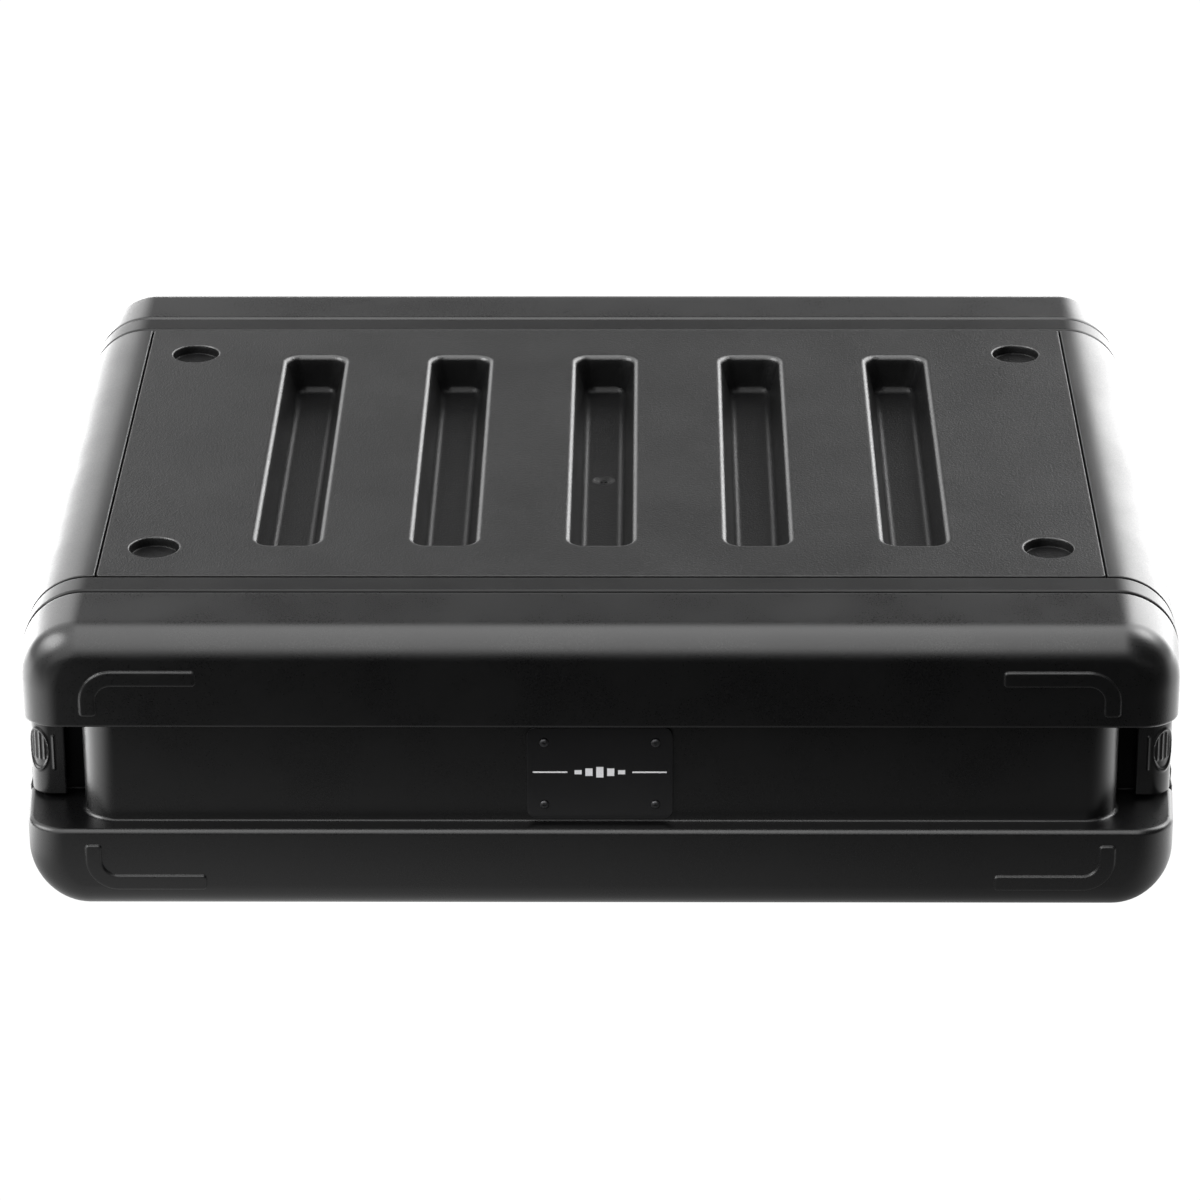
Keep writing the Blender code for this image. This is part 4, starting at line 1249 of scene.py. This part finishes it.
def make_dish():
    """A rimmed box in the side panel."""
    dish = solid("dish", [[yz(outline(100, 35.5, 8, steps=10, mid_y=MID_Z), x)
                           for x in (278.3, 279.5)]])
    add(dish, [[yz(outline(93, 29, 4, steps=8, mid_y=MID_Z), x) for x in (256.5, 279.0)]])
    cut(dish, [[yz(outline(91, 27, 3, steps=8, mid_y=MID_Z), x) for x in (258.5, 290.0)]])
    cut(dish, [prism_y(circle(ROD_X, ROD_Z, 2.3, 20), -95, 95)])
    bevel(dish, 0.4)
    return dish


def make_grip():
    """A grooved bar between two arms that hang on the rod."""
    ends = [(GRIP_END, 5.6), (83.6, 6.4), (83.0, 6.9)]
    # One groove: offset along the bar, radius.
    groove = [(-1.9, 7.0), (-1.2, 7.0), (-0.75, 6.75), (-0.45, 6.45)]
    groove += [(-offset, radius) for offset, radius in reversed(groove)]
    rows = [(-y, radius) for y, radius in ends]
    y = -80.0
    while y < 80.1:
        rows += [(y + offset, radius) for offset, radius in groove]
        y += GROOVE_PITCH
    rows += reversed(ends)
    grip = solid("grip", [[xz(circle(269.5, 63.0, radius, 36), y) for y, radius in rows]])
    arm = round_path([(265.5, 58.5, 2.2, 4), (275.5, 58.5, 2.2, 4), (275.5, 105.0, 4.95, 10),
                      (265.5, 105.0, 4.95, 10)], True)
    for low, high in ((-88.0, -78.0), (78.0, 88.0)):
        rows = ((low, 0.9), (low + 0.27, 0.27), (low + 0.9, 0.0),
                (high - 0.9, 0.0), (high - 0.27, 0.27), (high, 0.9))
        add(grip, [[xz(inset(arm, margin), y) for y, margin in rows]])
    cut(grip, [prism_y(circle(ROD_X, ROD_Z, 2.3, 24), -95, 95)])
    return grip


dish = make_dish()
grip = make_grip()
rod = turned("rod", [(1.7, -92.6), (2.0, -92.3), (2.0, 92.3), (1.7, 92.6)], 24, "Y")
rod.data.transform(Matrix.Translation((ROD_X * MM, 0, ROD_Z * MM)))
for hand, side_x in HANDS:
    handle = f"{hand}_handle"
    dress(mirror(dish, f"{hand}dish", side_x), LATCH, "case_body", f"{handle}_dish")
    dress(mirror(grip, f"{hand}grip", side_x), RUBBER, handle, f"{handle}_grip")
    dress(mirror(rod, f"{hand}rod", side_x), ROD, "case_body", f"{handle}_rod")
remove(dish, grip, rod)

# ------------------------------------------------------------ stage and light
FLOOR_HALF, FLOOR_Z = 9000, -0.05
BACKDROP = 1.05                     # brightness of floor and world as the camera sees them


def hide_light(net, light):
    """The plain backdrop for the camera, the light for everything else."""
    camera_ray = net.new("ShaderNodeLightPath").outputs["Is Camera Ray"]
    return net.add(net.mul(camera_ray, net.minus(BACKDROP, light)), light)


def floor_material(name):
    """A pale floor whose reflected glow varies by place, in metres."""
    material = bpy.data.materials.new(name)
    material.use_nodes = True
    net = Nodes(material.node_tree, "ShaderNodeOutputMaterial", "ShaderNodeEmission")
    x, y, _ = net.axes(net.new("ShaderNodeNewGeometry").outputs["Position"])
    near_left = net.add(net.ease(y, over=(-0.60, -0.34), to=(0.0, 3.0)),
                        net.ease(y, over=(-0.30, -0.12), to=(0.0, 2.4)),
                        net.ease(y, over=(-0.05, 0.15), to=(0.0, -1.3)))
    near_right = net.ease(y, over=(-0.33, -0.16), to=(0.0, 2.2))
    near = net.add(net.ease(y, over=(-0.50, -0.36), to=(0.03, 0.14)),
                   net.span(y, over=(-0.36, -0.245), to=(0.0, 0.45)))
    near = net.mul(near, net.span(x, over=(-0.22, 0.18), to=(1.5, 0.7)))
    on_left = net.ease(x, over=(-0.42, -0.28), to=(1.0, 0.0))
    on_right = net.ease(x, over=(0.26, 0.34))
    far = net.mul(net.ease(y, over=(0.24, 0.40)),
                  net.ease(x, over=(0.20, 0.45), to=(1.2, 3.0)))
    glow = net.add(near, net.add(net.mul(on_left, near_left), net.mul(on_right, near_right)),
                   far)
    net.shade(Strength=hide_light(net, glow))
    return material


mesh = bmesh.new()
bridge(mesh, [[(-FLOOR_HALF, y, FLOOR_Z), (FLOOR_HALF, y, FLOOR_Z)]
              for y in (-FLOOR_HALF, FLOOR_HALF)], closed=False)
bmesh.ops.scale(mesh, vec=(MM, MM, MM), verts=mesh.verts)
data = bpy.data.meshes.new("floor")
mesh.to_mesh(data)
mesh.free()
link_new("floor", data)
data.materials.append(floor_material("floor_pale"))

# Brightness against the turn in degrees, from level behind (0) over the top to level in front.
MIDDLE = ((0, 1.4), (8, 0.75), (20, 0.25), (36, 0.08), (50, 0.45), (58, 2.4), (66, 4.6),
          (78, 5.6), (96, 5.7), (112, 5.6), (127, 5.4), (142, 5.3), (154, 4.2), (165, 1.7),
          (176, 0.1))
LEFT = ((0, 3.1), (30, 2.9), (60, 2.5), (85, 3.0), (120, 3.4), (150, 3.0), (180, 2.6))
RIGHT = ((0, 7.0), (30, 7.4), (52, 7.0), (72, 5.5), (90, 1.6), (108, 0.2), (180, 0.05))
# Round lights: direction, angular radius in degrees, brightness.
SPOTS = (((-0.79, -0.12, 0.56), 28, 12.5), ((0.62, 0.30, 0.72), 17, 12.0))


def by_turn(net, turn, stops):
    ramp = net.new("ShaderNodeValToRGB")
    elements = ramp.color_ramp.elements
    while len(elements) > 1:
        elements.remove(elements[-1])
    peak = max(value for _, value in stops)
    elements[0].position = stops[0][0] / 180
    elements[0].color = (stops[0][1] / peak,) * 3 + (1,)
    for angle, value in stops[1:]:
        elements.new(angle / 180).color = (value / peak,) * 3 + (1,)
    net.put(ramp, {0: turn})
    return net.mul(ramp.outputs[0], peak)


def light_world(name):
    world = bpy.data.worlds.new(name)
    scene.world = world
    world.use_nodes = True
    net = Nodes(world.node_tree, "ShaderNodeOutputWorld", "ShaderNodeBackground")
    x, y, z = net.axes(net.new("ShaderNodeTexCoord").outputs["Generated"])
    turn = net.math("DIVIDE", net.math("ARCTAN2", z, y), math.pi)
    middle, left, right = (by_turn(net, turn, stops) for stops in (MIDDLE, LEFT, RIGHT))
    on_left = net.ease(x, over=(-0.27, -0.10), to=(1.0, 0.0))
    on_right = net.ease(x, over=(0.15, 0.30))
    glow = net.mul(middle, net.minus(1.0, net.add(on_left, on_right)))
    glow = net.add(glow, net.add(net.mul(left, on_left), net.mul(right, on_right)))
    for direction, radius, power in SPOTS:
        aim = Vector(direction).normalized()
        dot = net.add(net.mul(x, aim.x), net.mul(y, aim.y), net.mul(z, aim.z))
        edge, full = (math.cos(math.radians(a)) for a in (radius, radius * 0.6))
        glow = net.add(glow, net.ease(dot, over=(edge, full), to=(0.0, power)))
    # Dimmer low down at the far left and right.
    wide = net.mul(net.ease(net.math("ABSOLUTE", x), over=(0.62, 0.80), to=(0.0, 0.75)),
                   net.ease(z, over=(0.34, 0.52), to=(1.0, 0.0)))
    glow = net.mul(glow, net.minus(1.0, wide))
    net.shade(Strength=hide_light(net, glow))


light_world("studio")

# --------------------------------------------------------------------- camera
PITCH, YAW, ROLL = 0.430279, -0.0109582, -0.0039011     # radians; pitch is downward
CAMERA_AT = (0.02443, -2.41037, 1.17406)                # metres
forward = Vector((math.sin(YAW) * math.cos(PITCH), math.cos(YAW) * math.cos(PITCH),
                  -math.sin(PITCH)))
level = forward.cross(Vector((0, 0, 1))).normalized()
upright = level.cross(forward)
camera_x = math.cos(ROLL) * level + math.sin(ROLL) * upright
camera_y = -math.sin(ROLL) * level + math.cos(ROLL) * upright
lens = bpy.data.cameras.new("camera")
camera = link_new("camera", lens)
lens.lens, lens.sensor_width = 154.0, 36.0
lens.clip_start, lens.clip_end = 0.05, 60.0
turn = Matrix((camera_x, camera_y, -forward)).transposed()
camera.matrix_world = Matrix.Translation(CAMERA_AT) @ turn.to_4x4()
scene.camera = camera
scene.view_settings.view_transform = "Standard"
scene.view_settings.look = "None"
scene.view_settings.exposure = 0.0
scene.view_settings.gamma = 1.0
